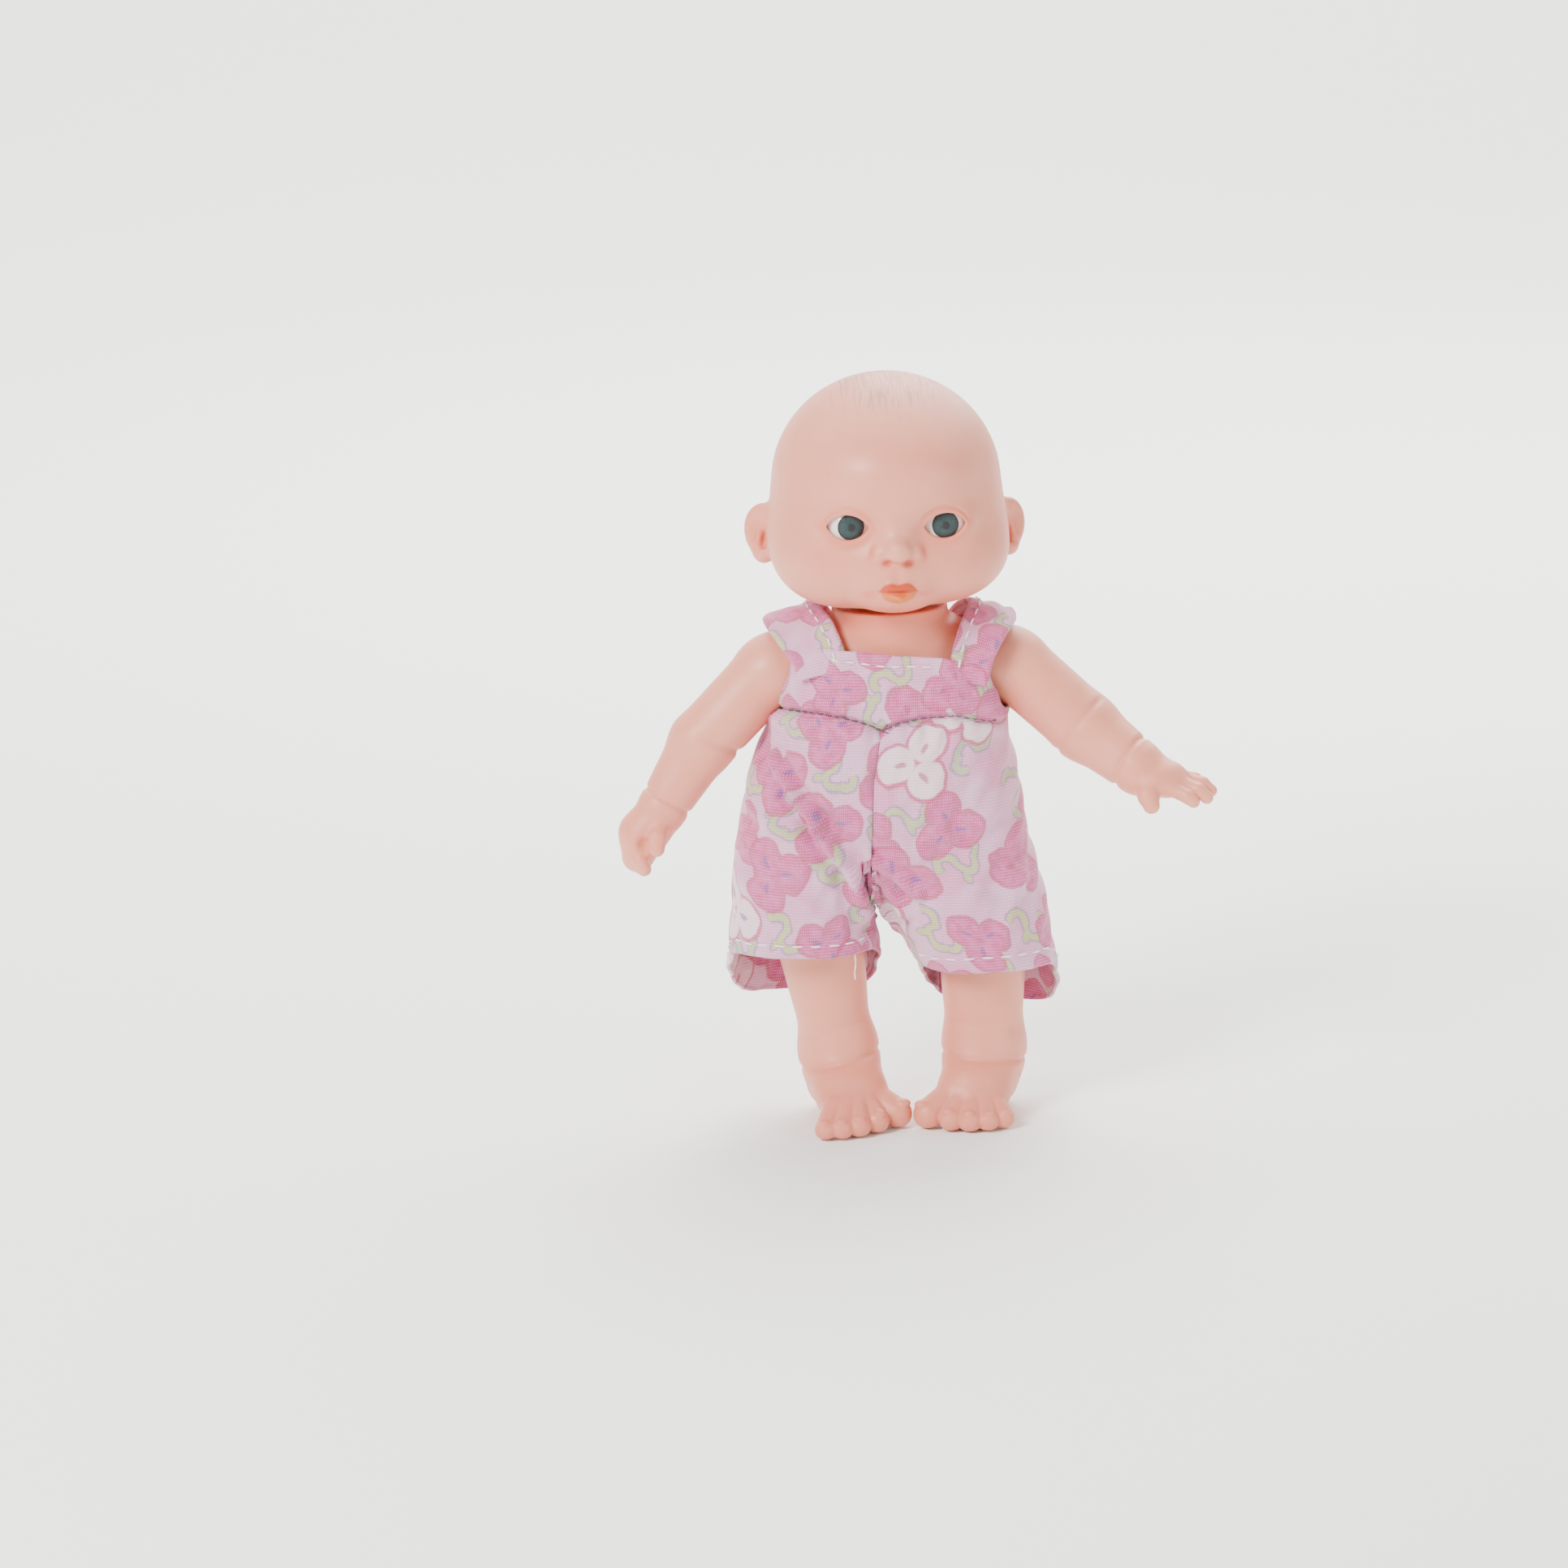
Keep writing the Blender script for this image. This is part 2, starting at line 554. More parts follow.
def cap(centre, radius, spread, rings, around, turn, dip=0.0):
    """A round cap of a ball, looking along -Y and turned by turn: points and quads, with polar values."""
    points, rim, quads = [], [], []
    for i in range(rings + 1):
        a = spread * (i + 0.02) / (rings + 0.02)
        for j in range(around):
            b = 2 * math.pi * j / around
            out = math.sin(a)
            points.append((out * math.cos(b), -math.cos(a) + dip * (1 - (a / spread) ** 2), out * math.sin(b)))
            rim.append((out * math.cos(b) / math.sin(spread), out * math.sin(b) / math.sin(spread), 0))
            if i:
                k, nxt = i * around + j, i * around + (j + 1) % around
                quads.append((k, k - around, nxt - around, nxt))
    points = np.array(points) * radius
    c, s = math.cos(turn), math.sin(turn)
    points = np.column_stack((points[:, 0] * c - points[:, 1] * s, points[:, 0] * s + points[:, 1] * c, points[:, 2]))
    return points + centre, np.array(quads), np.array(rim)


def make_eye(side, sign):
    centre = EYE * (sign, 1, 1)
    turn = math.radians(5.4)
    white = Nodes(f"eye_white_{side}")
    place = white.place()
    tone = white.mix(white.noise(place, 0.6), (0.80, 0.79, 0.78), (0.86, 0.86, 0.86))
    white.finish(tone, 0.16, Coat_Weight=0.6, Coat_Roughness=0.05, Subsurface_Weight=0.1,
                 Subsurface_Scale=0.001)
    points, quads, _ = cap(centre, EYE_R, math.pi * 0.96, 60, 72, turn)
    mesh = quick_mesh(f"eye_white_{side}", yaw(points), quads, white.material)
    add_object(f"eye_white_{side}", mesh, "head", [f"eyeball_{side}"])

    n = Nodes(f"iris_print_{side}")
    spot = n.attribute_vector("disc")
    split = n.new("ShaderNodeSeparateXYZ", {"Vector": spot})
    x, y = split.outputs[0], split.outputs[1]
    radius = n.math("SQRT", n.math("ADD", n.math("MULTIPLY", x, x), n.math("MULTIPLY", y, y)))
    angle = n.math("ARCTAN2", y, x)
    rays = n.new("ShaderNodeCombineXYZ", {"X": n.math("MULTIPLY", n.math("COSINE", angle), 5.0),
                                          "Y": n.math("MULTIPLY", n.math("SINE", angle), 5.0),
                                          "Z": n.math("MULTIPLY", radius, 1.3)}).outputs[0]
    streak = n.noise(rays, 2.6, 4, 0.7)
    colour = n.mix(n.step(streak, 0.36, 0.64), (0.004, 0.016, 0.019), (0.026, 0.060, 0.062))
    colour = n.mix(n.step(radius, 0.50, 0.12, 0.0, 0.55), colour, (0.022, 0.035, 0.04))
    wide = n.math("ADD", radius, n.math("MULTIPLY", n.math("SUBTRACT", streak, 0.5), 0.28))
    colour = n.mix(n.step(wide, 0.36, 0.24), colour, (0.008, 0.008, 0.01))
    colour = n.mix(n.step(radius, 0.80, 0.93), colour, (0.022, 0.014, 0.013))
    colour = n.mix(n.step(y, 0.45, 1.1, 0.0, 0.6), colour, (0.008, 0.010, 0.011))
    n.finish(colour, 0.65)
    points, quads, disc = cap(centre, EYE_R + 0.12, math.asin(3.4 / EYE_R), 20, 96, turn)
    mesh = quick_mesh(f"iris_print_{side}", yaw(points), quads, n.material, {"disc": disc})
    add_object(f"iris_print_{side}", mesh, "head", [f"iris_{side}"])

    clear = Nodes(f"cornea_clear_{side}")
    clear.finish(clear.mix(clear.noise(clear.place(), 0.8), (0.02, 0.02, 0.02), (0.03, 0.03, 0.035)), 0.03,
                 Alpha=0.06, Coat_Weight=0.5, Coat_Roughness=0.02)
    points, quads, _ = cap(centre, EYE_R + 0.3, math.asin(3.75 / EYE_R), 14, 96, turn)
    mesh = quick_mesh(f"cornea_clear_{side}", yaw(points), quads, clear.material)
    add_object(f"cornea_clear_{side}", mesh, "head", [f"cornea_{side}"])


# ------------------------------------------------------------------ torso

LEVELS = np.array([(62, 12, 9), (66, 19, 13.5), (75, 25.5, 17.5), (90, 28, 20), (104, 27, 19.5), (115, 26, 17),
                   (125, 24.5, 15), (130.5, 20.5, 13.5), (133.5, 16.5, 12.5)])


def torso_sizes(z):
    z = np.clip(z, LEVELS[0, 0], LEVELS[-1, 0])
    return np.interp(z, LEVELS[:, 0], LEVELS[:, 1]), np.interp(z, LEVELS[:, 0], LEVELS[:, 2])


def torso_solid(p):
    x, y, z = p.T
    wide = sum(torso_sizes(z + dz)[0] for dz in (-3, 0, 3)) / 3
    deep = sum(torso_sizes(z + dz)[1] for dz in (-3, 0, 3)) / 3
    ring = np.hypot(x / wide, y / deep)
    d = (ring - 1) * deep * 0.9
    d = smax(d, np.maximum(62 - z, z - 134), 4)
    m = mirrored(p)
    away = np.hypot(y, z - 80) - 16.8
    cut = np.maximum(11.8 - m[:, 0], np.minimum(away, np.maximum(z - 96.8, y)))
    cut = np.minimum(cut, np.maximum(11.8 - m[:, 0], np.maximum(z - 84, -y - 1)))
    d = np.maximum(d, -cut)
    return np.maximum(d, np.where(z > 109, m[:, 0] - 24, -1e3))  # flat where the arms sit


def neck_field(p):
    collar = np.maximum(np.hypot(p[:, 0], p[:, 1]) - 15, np.maximum(126 - p[:, 2], p[:, 2] - 136.9))
    groove_ring = tube_z(p, 9.4, 126, 141.2)
    knob = tube_z(p, 11.5, 141.2, 145)
    return smin(smax(collar, p[:, 2] - 137.3, 1.0), np.minimum(groove_ring, knob), 0.6)


def torso_half(p, way):
    d = smin(torso_solid(p), neck_field(p), 1.6)
    m = mirrored(p)
    shell = np.maximum(d, -(torso_solid(p) + 2.2))
    shell = np.maximum(shell, -tube_z(p, 6.5, 125, 150))
    holes = np.maximum(np.hypot(p[:, 1], p[:, 2] - 120.4) - 6, np.abs(m[:, 0] - 23) - 3)
    holes = np.minimum(holes, np.maximum(np.hypot(p[:, 1], p[:, 2] - 80) - 6.5, np.abs(m[:, 0] - 11) - 3))
    if way < 0:
        holes = np.minimum(holes, np.maximum(np.hypot(p[:, 0], p[:, 2] - 104) - 6.3, p[:, 1] + 12))
    else:
        holes = np.minimum(holes, slab(p, (-8.9, 10, 73.7), (8.9, 40, 102.3)))
        holes = np.minimum(holes, slab(p, (13.7, 8, 102.9), (16.3, 40, 108.9)))
        for column in (-1, 0, 1):
            for line in (-1, 0, 1):
                spot = np.hypot(p[:, 0] - column * 3.6, p[:, 2] - 113 - line * 3.6) - 0.9
                holes = np.minimum(holes, np.maximum(spot, 12 - p[:, 1]))
    shell = np.maximum(shell, -holes)
    return np.maximum(shell, way * -p[:, 1] + 0.02)


def make_torso():
    material = skin("vinyl_torso")
    for name, way in (("front", -1), ("back", 1)):
        low, high = ((-30, -23, 60), (30, 2, 147)) if way < 0 else ((-30, -2, 60), (30, 23, 147))
        points, quads = field_surface(lambda p: torso_half(p, way), low, high, 0.5)
        blush = soft(points[:, 2], 124, 131) * 0.45 + soft(points[:, 2], 131, 135) * 0.3 + 0.25
        mesh = quick_mesh(f"torso_skin_{name}", points, quads, material, {"blush": np.clip(blush, 0, 1)})
        add_object(f"torso_skin_{name}", mesh, "torso", [f"torso_{name}_shell"])


# ------------------------------------------------------------------ limbs


def arm_field_left(p):
    """On the arm's own side: x grows away from the body."""
    seat = 24.4
    d = bone(p, (20, 0, 120.4), (29, 0, 120.4), 9.5, 9.5)
    d = smin(d, bone(p, (33, -0.8, 118.4), (49.7, -5, 103.4), 9.1, 8.9), 4)
    d = smin(d, bone(p, (49.7, -5, 103.4), (62.5, -12, 94.4), 8.6, 7.2), 2.5)
    d += groove(p, (48.6, -5, 104.6), (0.74, -0.2, -0.64), 0.9, 0.5) * soft(-p[:, 1] - p[:, 2] * 0.2, -18, -12)
    d += groove(p, (61.0, -11.2, 95.4), (0.80, -0.40, -0.45), 0.75, 0.7)
    hand = bone(p, (64.2, -12.6, 93.0), (70.8, -15.0, 91.4), 6.3, 4.7)
    hand = smin(hand, ellipsoid(p, (68, -16, 91.4), (6.5, 5.5, 3.9)), 2.5)
    fingers = [((70.8, -19.2, 90.2), (75.4, -21.4, 88.2), (76.9, -21.9, 86.9), 2.1, 1.9, 1.65),
               ((72.8, -17.4, 91.0), (78.2, -19.6, 89.4), (80.4, -20.2, 87.4), 2.1, 1.9, 1.65),
               ((73.2, -14.4, 91.4), (79.4, -16.4, 90.2), (81.6, -16.8, 88.4), 2.0, 1.85, 1.6),
               ((72.0, -11.2, 91.4), (77.6, -12.0, 90.4), (79.8, -12.4, 88.8), 1.9, 1.7, 1.5)]
    reach = None
    for a, b, c, ra, rb, rc in fingers:
        one = smin(bone(p, a, b, ra, rb), bone(p, b, c, rb, rc), 0.5)
        reach = one if reach is None else smin(reach, one, 0.25)
    hand = smin(hand, reach, 1.7)
    thumb = smin(bone(p, (64.3, -17.0, 90.8), (65.3, -20.6, 88.4), 3.0, 2.7),
                 bone(p, (65.3, -20.6, 88.4), (66.0, -22.0, 86.2), 2.6, 2.2), 1.0)
    hand = smin(hand, thumb, 1.6)
    d = smin(d, hand, 1.8)
    return np.maximum(d, seat - p[:, 0])


def arm_field_right(p):
    seat = 24.4
    d = bone(p, (20, 0, 120.4), (29, 0, 120.4), 9.5, 9.5)
    d = smin(d, bone(p, (33, -0.6, 118.0), (49.4, -3, 101.6), 8.9, 8.7), 4)
    d = smin(d, bone(p, (49.4, -3, 101.6), (59.3, -6, 86.6), 8.3, 6.6), 2.0)
    d += groove(p, (47.6, -3.5, 102.9), (0.45, -0.1, -0.9), 1.0, 0.7) * soft(52 - p[:, 0], 0, 8)
    d += groove(p, (59.0, -6, 87.3), (0.55, -0.15, -0.83), 0.7, 0.6)
    hand = bone(p, (61.2, -6.6, 83.6), (65.2, -7.4, 78.8), 6.2, 6.2)
    hand = smin(hand, bone(p, (65.6, -6.4, 78.4), (67.0, -7.0, 72.6), 5.4, 4.2), 3.0)
    curls = [((67.8, -9.2, 74.0), (66.2, -11.6, 72.4)), ((67.2, -9.0, 71.4), (65.4, -11.2, 70.2))]
    for a, b in curls:
        hand = smin(hand, bone(p, a, b, 2.3, 1.9), 0.9)
    hand = smax(hand, -ellipsoid(p, (65.0, -15.2, 77.0), (2.2, 3.6, 2.6)), 1.8)
    thumb = smin(bone(p, (60.8, -10.4, 82.4), (61.6, -13.4, 79.2), 2.6, 2.3),
                 bone(p, (61.6, -13.4, 79.2), (61.8, -14.2, 76.2), 2.3, 2.0), 0.8)
    hand = smin(hand, thumb, 1.0)
    d = smin(d, hand, 2.0)
    return np.maximum(d, seat - p[:, 0])


def arm_marks(p, wrist):
    pit = np.exp(-(np.linalg.norm(p - (30, -2, 110), axis=1) / 9) ** 2) * 0.8
    hand = np.exp(-(np.linalg.norm(p - wrist, axis=1) / 7) ** 2) * 0.3
    return {"blush": np.clip(pit + hand + 0.18, 0, 1)}


def make_arms():
    material = skin("vinyl_limbs")
    plans = {"left": (arm_field_left, (22, -27, 80), (86, 12, 133), np.array([66, -15, 91])),
             "right": (arm_field_right, (22, -20, 62), (75, 12, 133), np.array([63, -10, 79]))}
    for side, (field, low, high, wrist) in plans.items():
        points, quads = field_surface(field, low, high, 0.4)
        marks = arm_marks(points, wrist)
        points = points * (SIDES[side], 1, 1)
        if SIDES[side] < 0:
            quads = quads[:, ::-1]
        mesh = quick_mesh(f"arm_vinyl_{side}", points, quads, material, marks)
        add_object(f"arm_vinyl_{side}", mesh, f"arm_{side}", [f"arm_{side}"])
    return material


TOES = {  # tip of each toe from the big one outwards: side, depth, radius
    "left": [(6.5, -17.4, 4.0), (12.4, -20.6, 3.3), (17.2, -22.0, 3.15), (21.9, -21.6, 3.0), (26.0, -19.6, 2.9)],
    "right": [(1.7, -15.8, 4.0), (7.0, -20.6, 3.3), (11.6, -24.0, 3.15), (16.0, -25.6, 3.0), (20.2, -25.8, 2.9)],
}
LEG = {
    "left": {"knee": (21.8, -1, 53), "calf": (21.9, -0.5, 38), "ankle": (21.6, 0, 16.5), "heel": (21.6, 4.0, 8.2),
             "mid": (18.9, -8.0, 8.2), "crease": (0.10, 0.1, 1), "thin": 9.6},
    "right": {"knee": (21.2, -1, 53), "calf": (20.6, -0.5, 38), "ankle": (16.4, 0, 16.5), "heel": (16.2, 4.0, 8.2),
              "mid": (13.4, -8.5, 8.2), "crease": (0.22, 0.1, 1), "thin": 8.4},
}


def leg_field(p, side):
    """On the leg's own side: x grows away from the body's middle."""
    plan = LEG[side]
    x, y, z = p.T
    d = bone(p, (19.6, 0, 80), plan["knee"], 12.2, 12.2)
    d = smin(d, bone(p, plan["knee"], plan["ankle"], 12.1, plan["thin"]), 3)
    foot = bone(p, plan["ankle"], plan["heel"], 9.0, 8.4)
    foot = smin(foot, bone(p, plan["ankle"], plan["mid"], 8.8, 8.2), 5)
    foot = smin(foot, bone(p, plan["heel"], plan["mid"], 8.4, 8.0), 3)
    mid = np.array(plan["mid"], float)
    pad, toes = None, None
    for tx, ty, r in TOES[side]:
        tip = np.array((tx, ty, r * 0.95 + 0.1))
        away = tip - mid
        away[2] = 0
        away /= np.linalg.norm(away)
        root = tip - away * r * 2.1 + (0, 0, 3.8)
        start = np.array(plan["ankle"]) + ((tx - mid[0]) * 0.25, -3.8, -5.0)
        one = bone(p, start, root - away * 0.6 - (0, 0, 0.8), 5.6, r * 1.25)
        pad = one if pad is None else smin(pad, one, 2.5)
        toe = bone(p, root, tip, r * 1.04, r)
        nail = ellipsoid(p, tip + away * r * 0.50 + (0, 0, r * 0.74), (r * 0.5, r * 0.45, r * 0.30))
        toe = smin(toe, nail, 0.4)
        toes = toe if toes is None else smin(toes, toe, 0.35)
    foot = smin(foot, pad, 4)
    foot = smin(foot, toes, 0.9)
    d = smin(d, foot, 5)
    ankle = np.array(plan["ankle"], float)
    d += groove(p, ankle + (0, 0, -1.4), plan["crease"], 0.8, 0.5)
    d -= groove(p, ankle + (0, 0, 3.0), plan["crease"], 3.2, 0.12)
    d += groove(p, ankle + (0, 0, 7.4), plan["crease"], 1.3, 0.22) * soft(-y, 2, 8)
    d = smax(d, 0.05 - z, 1.6)
    hip = np.hypot(y, z - 80)  # the leg is flat inside, as far out as it passes the torso
    return np.maximum(d, np.where(hip < 23.5, 12.3 - x, -1e3))


def make_legs(material):
    for side, sign in SIDES.items():
        points, quads = field_surface(lambda p: leg_field(p, side), (-4.5, -33, -1), (38, 17, 97), 0.42)
        x, y, z = points.T
        blush = 0.22 + 0.25 * soft(18 - z, 0, 10) + 0.3 * np.exp(-((z - 15.2) / 1.6) ** 2)
        points = points * (sign, 1, 1)
        if sign < 0:
            quads = quads[:, ::-1]
        mesh = quick_mesh(f"leg_vinyl_{side}", points, quads, material, {"blush": np.clip(blush, 0, 1)})
        add_object(f"leg_vinyl_{side}", mesh, f"leg_{side}", [f"leg_{side}"])


# ------------------------------------------------------------------ the romper's cloth

THICK = 0.9  # of one layer of cloth, mm


def superloop(angle, wide, deep, power):
    """A point of a rounded-box loop; angle 0 faces -Y and grows towards +X."""
    s, c = np.sin(angle), np.cos(angle)
    x = wide * np.sign(s) * np.abs(s) ** (2 / power)
    y = -deep * np.sign(c) * np.abs(c) ** (2 / power)
    return x, y


def even_rows(rows):
    """Rows of points, each spread evenly along its own length."""
    out = []
    for line in rows:
        steps = np.linalg.norm(np.diff(line, axis=0), axis=1)
        along = np.concatenate(([0], np.cumsum(steps)))
        where = np.linspace(0, along[-1], len(line))
        out.append(np.column_stack([np.interp(where, along, line[:, k]) for k in range(3)]))
    return np.array(out)


def lay(rows):
    """Distances across and down the cloth, for every point of its rows, in mm."""
    across = np.linalg.norm(np.diff(rows, axis=1), axis=2)
    u = np.concatenate((np.zeros((len(rows), 1)), np.cumsum(across, 1)), 1)
    down = np.linalg.norm(np.diff(rows, axis=0), axis=2).mean(1)
    v = -np.concatenate(([0], np.cumsum(down)))
    return np.dstack((u, np.repeat(v[:, None], rows.shape[1], 1), np.zeros(u.shape)))


def sheet_object(name, body, nodes, points, quads, marks, material, thick=THICK):
    """A layer of cloth given by its outer face: the inner face is thick below it."""
    mesh = quick_mesh(name, points, quads, material, marks)
    obj = link(name, mesh)
    solid = obj.modifiers.new("thick", "SOLIDIFY")
    solid.thickness, solid.offset, solid.use_even_offset = thick * MM, -1, False
    ready = bpy.data.meshes.new_from_object(obj.evaluated_get(bpy.context.evaluated_depsgraph_get()))
    obj.modifiers.clear()
    obj.data = ready
    ready.shade_smooth()
    return declare(obj, body, nodes)


def grid_quads(rows, columns):
    """Quads of a grid whose rows go down and whose columns go round, facing outwards."""
    i, j = np.meshgrid(np.arange(rows - 1), np.arange(columns - 1), indexing="ij")
    a = (i * columns + j).ravel()
    return np.column_stack((a, a + columns, a + columns + 1, a + 1))


def to_segment(x, z, a, b):
    """How far points of the front view are from a segment."""
    a, b = np.array(a, float), np.array(b, float)
    p = np.column_stack((x, z))
    t = np.clip(((p - a) @ (b - a)) / ((b - a) @ (b - a)), 0, 1)
    return np.linalg.norm(p - a - t[:, None] * (b - a), axis=1)


def print_material():
    """Cotton knit with a scattered print of three-petalled flowers and curling tendrils."""
    n = Nodes("romper_cotton")
    lay_at = n.attribute_vector("cloth")
    wobble = n.new("ShaderNodeTexNoise", {"Vector": lay_at, "Scale": 0.22, "Detail": 1.0}).outputs["Color"]
    shift = n.new("ShaderNodeVectorMath", operation="MULTIPLY_ADD")
    n.put(shift.inputs[0], wobble)
    shift.inputs[1].default_value = (2.2, 2.2, 0)
    n.put(shift.inputs[2], lay_at)
    flat = shift.outputs[0]

    def cell(pitch, offset, spread):
        """Local places within scattered cells: x and y in mm from the cell's own middle, turned at random."""
        moved = n.new("ShaderNodeVectorMath", operation="ADD")
        n.put(moved.inputs[0], flat)
        moved.inputs[1].default_value = (*offset, 0)
        scaled = n.new("ShaderNodeVectorMath", operation="SCALE")
        n.put(scaled.inputs[0], moved.outputs[0])
        scaled.inputs["Scale"].default_value = 1 / pitch
        vor = n.new("ShaderNodeTexVoronoi", {"Vector": scaled.outputs[0], "Scale": 1.0, "Randomness": spread},
                    voronoi_dimensions="2D", feature="F1")
        off = n.new("ShaderNodeVectorMath", operation="SUBTRACT")
        n.put(off.inputs[0], scaled.outputs[0])
        n.put(off.inputs[1], vor.outputs["Position"])
        back = n.new("ShaderNodeVectorMath", operation="SCALE")
        n.put(back.inputs[0], off.outputs[0])
        back.inputs["Scale"].default_value = pitch
        dice = n.new("ShaderNodeSeparateColor", {"Color": vor.outputs["Color"]}).outputs
        turn = n.new("ShaderNodeVectorRotate", {"Vector": back.outputs[0],
                                                "Angle": n.math("MULTIPLY", dice[0], 6.283)}, rotation_type="Z_AXIS")
        split = n.new("ShaderNodeSeparateXYZ", {"Vector": turn.outputs[0]}).outputs
        return split[0], split[1], dice

    def length(x, y):
        return n.math("SQRT", n.math("ADD", n.math("MULTIPLY", x, x), n.math("MULTIPLY", y, y)))

    def flower(pitch, offset, spread, size):
        x, y, dice = cell(pitch, offset, spread)
        radius = length(x, y)
        angle = n.math("SUBTRACT", n.math("FLOORED_MODULO", n.math("ARCTAN2", y, x), 2.0944), 1.0472)
        px = n.math("MULTIPLY", radius, n.math("COSINE", angle))
        py = n.math("MULTIPLY", radius, n.math("SINE", angle))
        scale = n.math("MULTIPLY_ADD", dice[1], 0.30 * size, 0.86 * size)
        px, py = n.math("DIVIDE", px, scale), n.math("DIVIDE", py, scale)
        petal = n.math("SUBTRACT", length(n.math("SUBTRACT", px, 3.5), py), 3.55)
        dash = length(n.math("DIVIDE", n.math("SUBTRACT", px, 2.7), 1.25), n.math("DIVIDE", py, 0.5))
        return petal, dash, radius, dice

    def ring(x, y, cx, cy, radius):
        return n.math("ABSOLUTE", n.math("SUBTRACT", length(n.math("SUBTRACT", x, cx), n.math("SUBTRACT", y, cy)),
                                         radius))

    base = n.mix(n.step(n.noise(flat, 0.07, 2), 0.35, 0.65), (0.74, 0.43, 0.62), (0.71, 0.32, 0.51))
    base = n.mix(n.step(n.noise(flat, 0.045, 1), 0.54, 0.62, 0.0, 0.75), base, (0.72, 0.24, 0.45))
    # tendrils: an S of two part rings with a curl and a short leaf
    for offset in ((13.5, 0.0), (0.0, 13.5)):
        x, y, dice = cell(27.0, offset, 0.35)
        x, y = n.math("DIVIDE", x, 1.3), n.math("DIVIDE", y, 1.3)
        upper = n.math("ADD", ring(x, y, 0.0, 2.0, 2.0), n.step(x, -0.3, -1.2, 0.0, 3.0))
        lower = n.math("ADD", ring(x, y, 0.0, -2.0, 2.0), n.step(x, 0.3, 1.2, 0.0, 3.0))
        curl = n.math("ADD", ring(x, y, -1.6, 3.6, 1.5), n.step(y, 3.6, 2.8, 0.0, 3.0))
        leaf_y = n.math("DIVIDE", n.math("SUBTRACT", y, 0.4), 0.6)
        leaf = n.math("SUBTRACT", length(n.math("SUBTRACT", x, 2.9), leaf_y), 0.6)
        stem = n.math("MINIMUM", n.math("MINIMUM", upper, lower), n.math("MINIMUM", curl, leaf))
        drawn = n.step(dice[2], 0.10, 0.12)
        outline = n.math("MULTIPLY", n.step(stem, 1.3, 0.9), drawn)
        inside = n.math("MULTIPLY", n.step(stem, 0.80, 0.50), drawn)
        base = n.mix(n.math("MULTIPLY", outline, 0.8), base, (0.20, 0.19, 0.34))
        green = n.mix(dice[1], (0.52, 0.55, 0.17), (0.42, 0.52, 0.26))
        base = n.mix(n.math("MULTIPLY", inside, 0.92), base, green)
    # flowers
    for offset in ((2.0, 3.5), (15.5, 17.0)):
        petal, dash, radius, dice = flower(27.0, offset, 0.35, 1.36)
        shown = n.step(dice[2], 0.05, 0.07)
        pale = n.step(dice[1], 0.86, 0.88)
        fill = n.mix(n.step(n.noise(flat, 0.35, 3), 0.35, 0.65), (0.55, 0.045, 0.21), (0.64, 0.11, 0.33))
        fill = n.mix(pale, fill, (0.88, 0.70, 0.77))
        edge = n.mix(pale, (0.46, 0.018, 0.115), (0.50, 0.03, 0.13))
        mark = n.mix(n.step(dice[0], 0.5, 0.52), (0.10, 0.05, 0.30), (0.40, 0.02, 0.11))
        base = n.mix(n.math("MULTIPLY", n.step(petal, 0.48, 0.10), n.math("MULTIPLY", shown, 0.85)), base, edge)
        base = n.mix(n.math("MULTIPLY", n.step(petal, -0.16, -0.62), n.math("MULTIPLY", shown, 0.94)), base, fill)
        base = n.mix(n.math("MULTIPLY", n.step(dash, 1.1, 0.6), n.math("MULTIPLY", shown, 0.75)), base, mark)
    # the knit: fine ribs and a soft fuzz
    ribs = n.new("ShaderNodeTexWave", {"Vector": lay_at, "Scale": 0.58, "Distortion": 1.2, "Detail": 2.0,
                                       "Detail Scale": 2.0}, wave_type="BANDS", bands_direction="X").outputs["Fac"]
    rows = n.new("ShaderNodeTexWave", {"Vector": lay_at, "Scale": 0.42, "Distortion": 1.4, "Detail": 2.0,
                                       "Detail Scale": 2.0}, wave_type="BANDS", bands_direction="Y").outputs["Fac"]
    knit = n.math("MULTIPLY", ribs, rows)
    fuzz = n.noise(lay_at, 2.6, 3)
    speck = n.math("MULTIPLY_ADD", fuzz, 0.5, n.math("MULTIPLY", knit, 0.5))
    base = n.mix(n.step(speck, 0.28, 0.60, 0.30, 0.0), base, (0.36, 0.10, 0.20))
    base = n.mix(n.step(speck, 0.40, 0.72, 0.0, 0.28), base, (0.98, 0.93, 0.96))
    normal = n.bump(speck, 0.16, 0.85)
    return n.finish(base, 0.92, normal, Sheen_Weight=0.25, Sheen_Roughness=0.6)


WAIST_SEAM = [(-34, 110.2), (-26, 112.0), (-20, 112.4), (-12, 111.0), (-6, 109.3), (-2.6, 107.8), (1.5, 109.4),
              (8, 110.7), (16, 110.8), (22, 109.0), (30, 106.4)]


def waist_seam(x, y):
    """Height of the seam between the bib and the trousers, which dips to a V in front."""
    front = np.interp(x, [p[0] for p in WAIST_SEAM], [p[1] for p in WAIST_SEAM])
    behind = soft(y, -8, 6)
    return front * (1 - behind) + 109.0 * behind


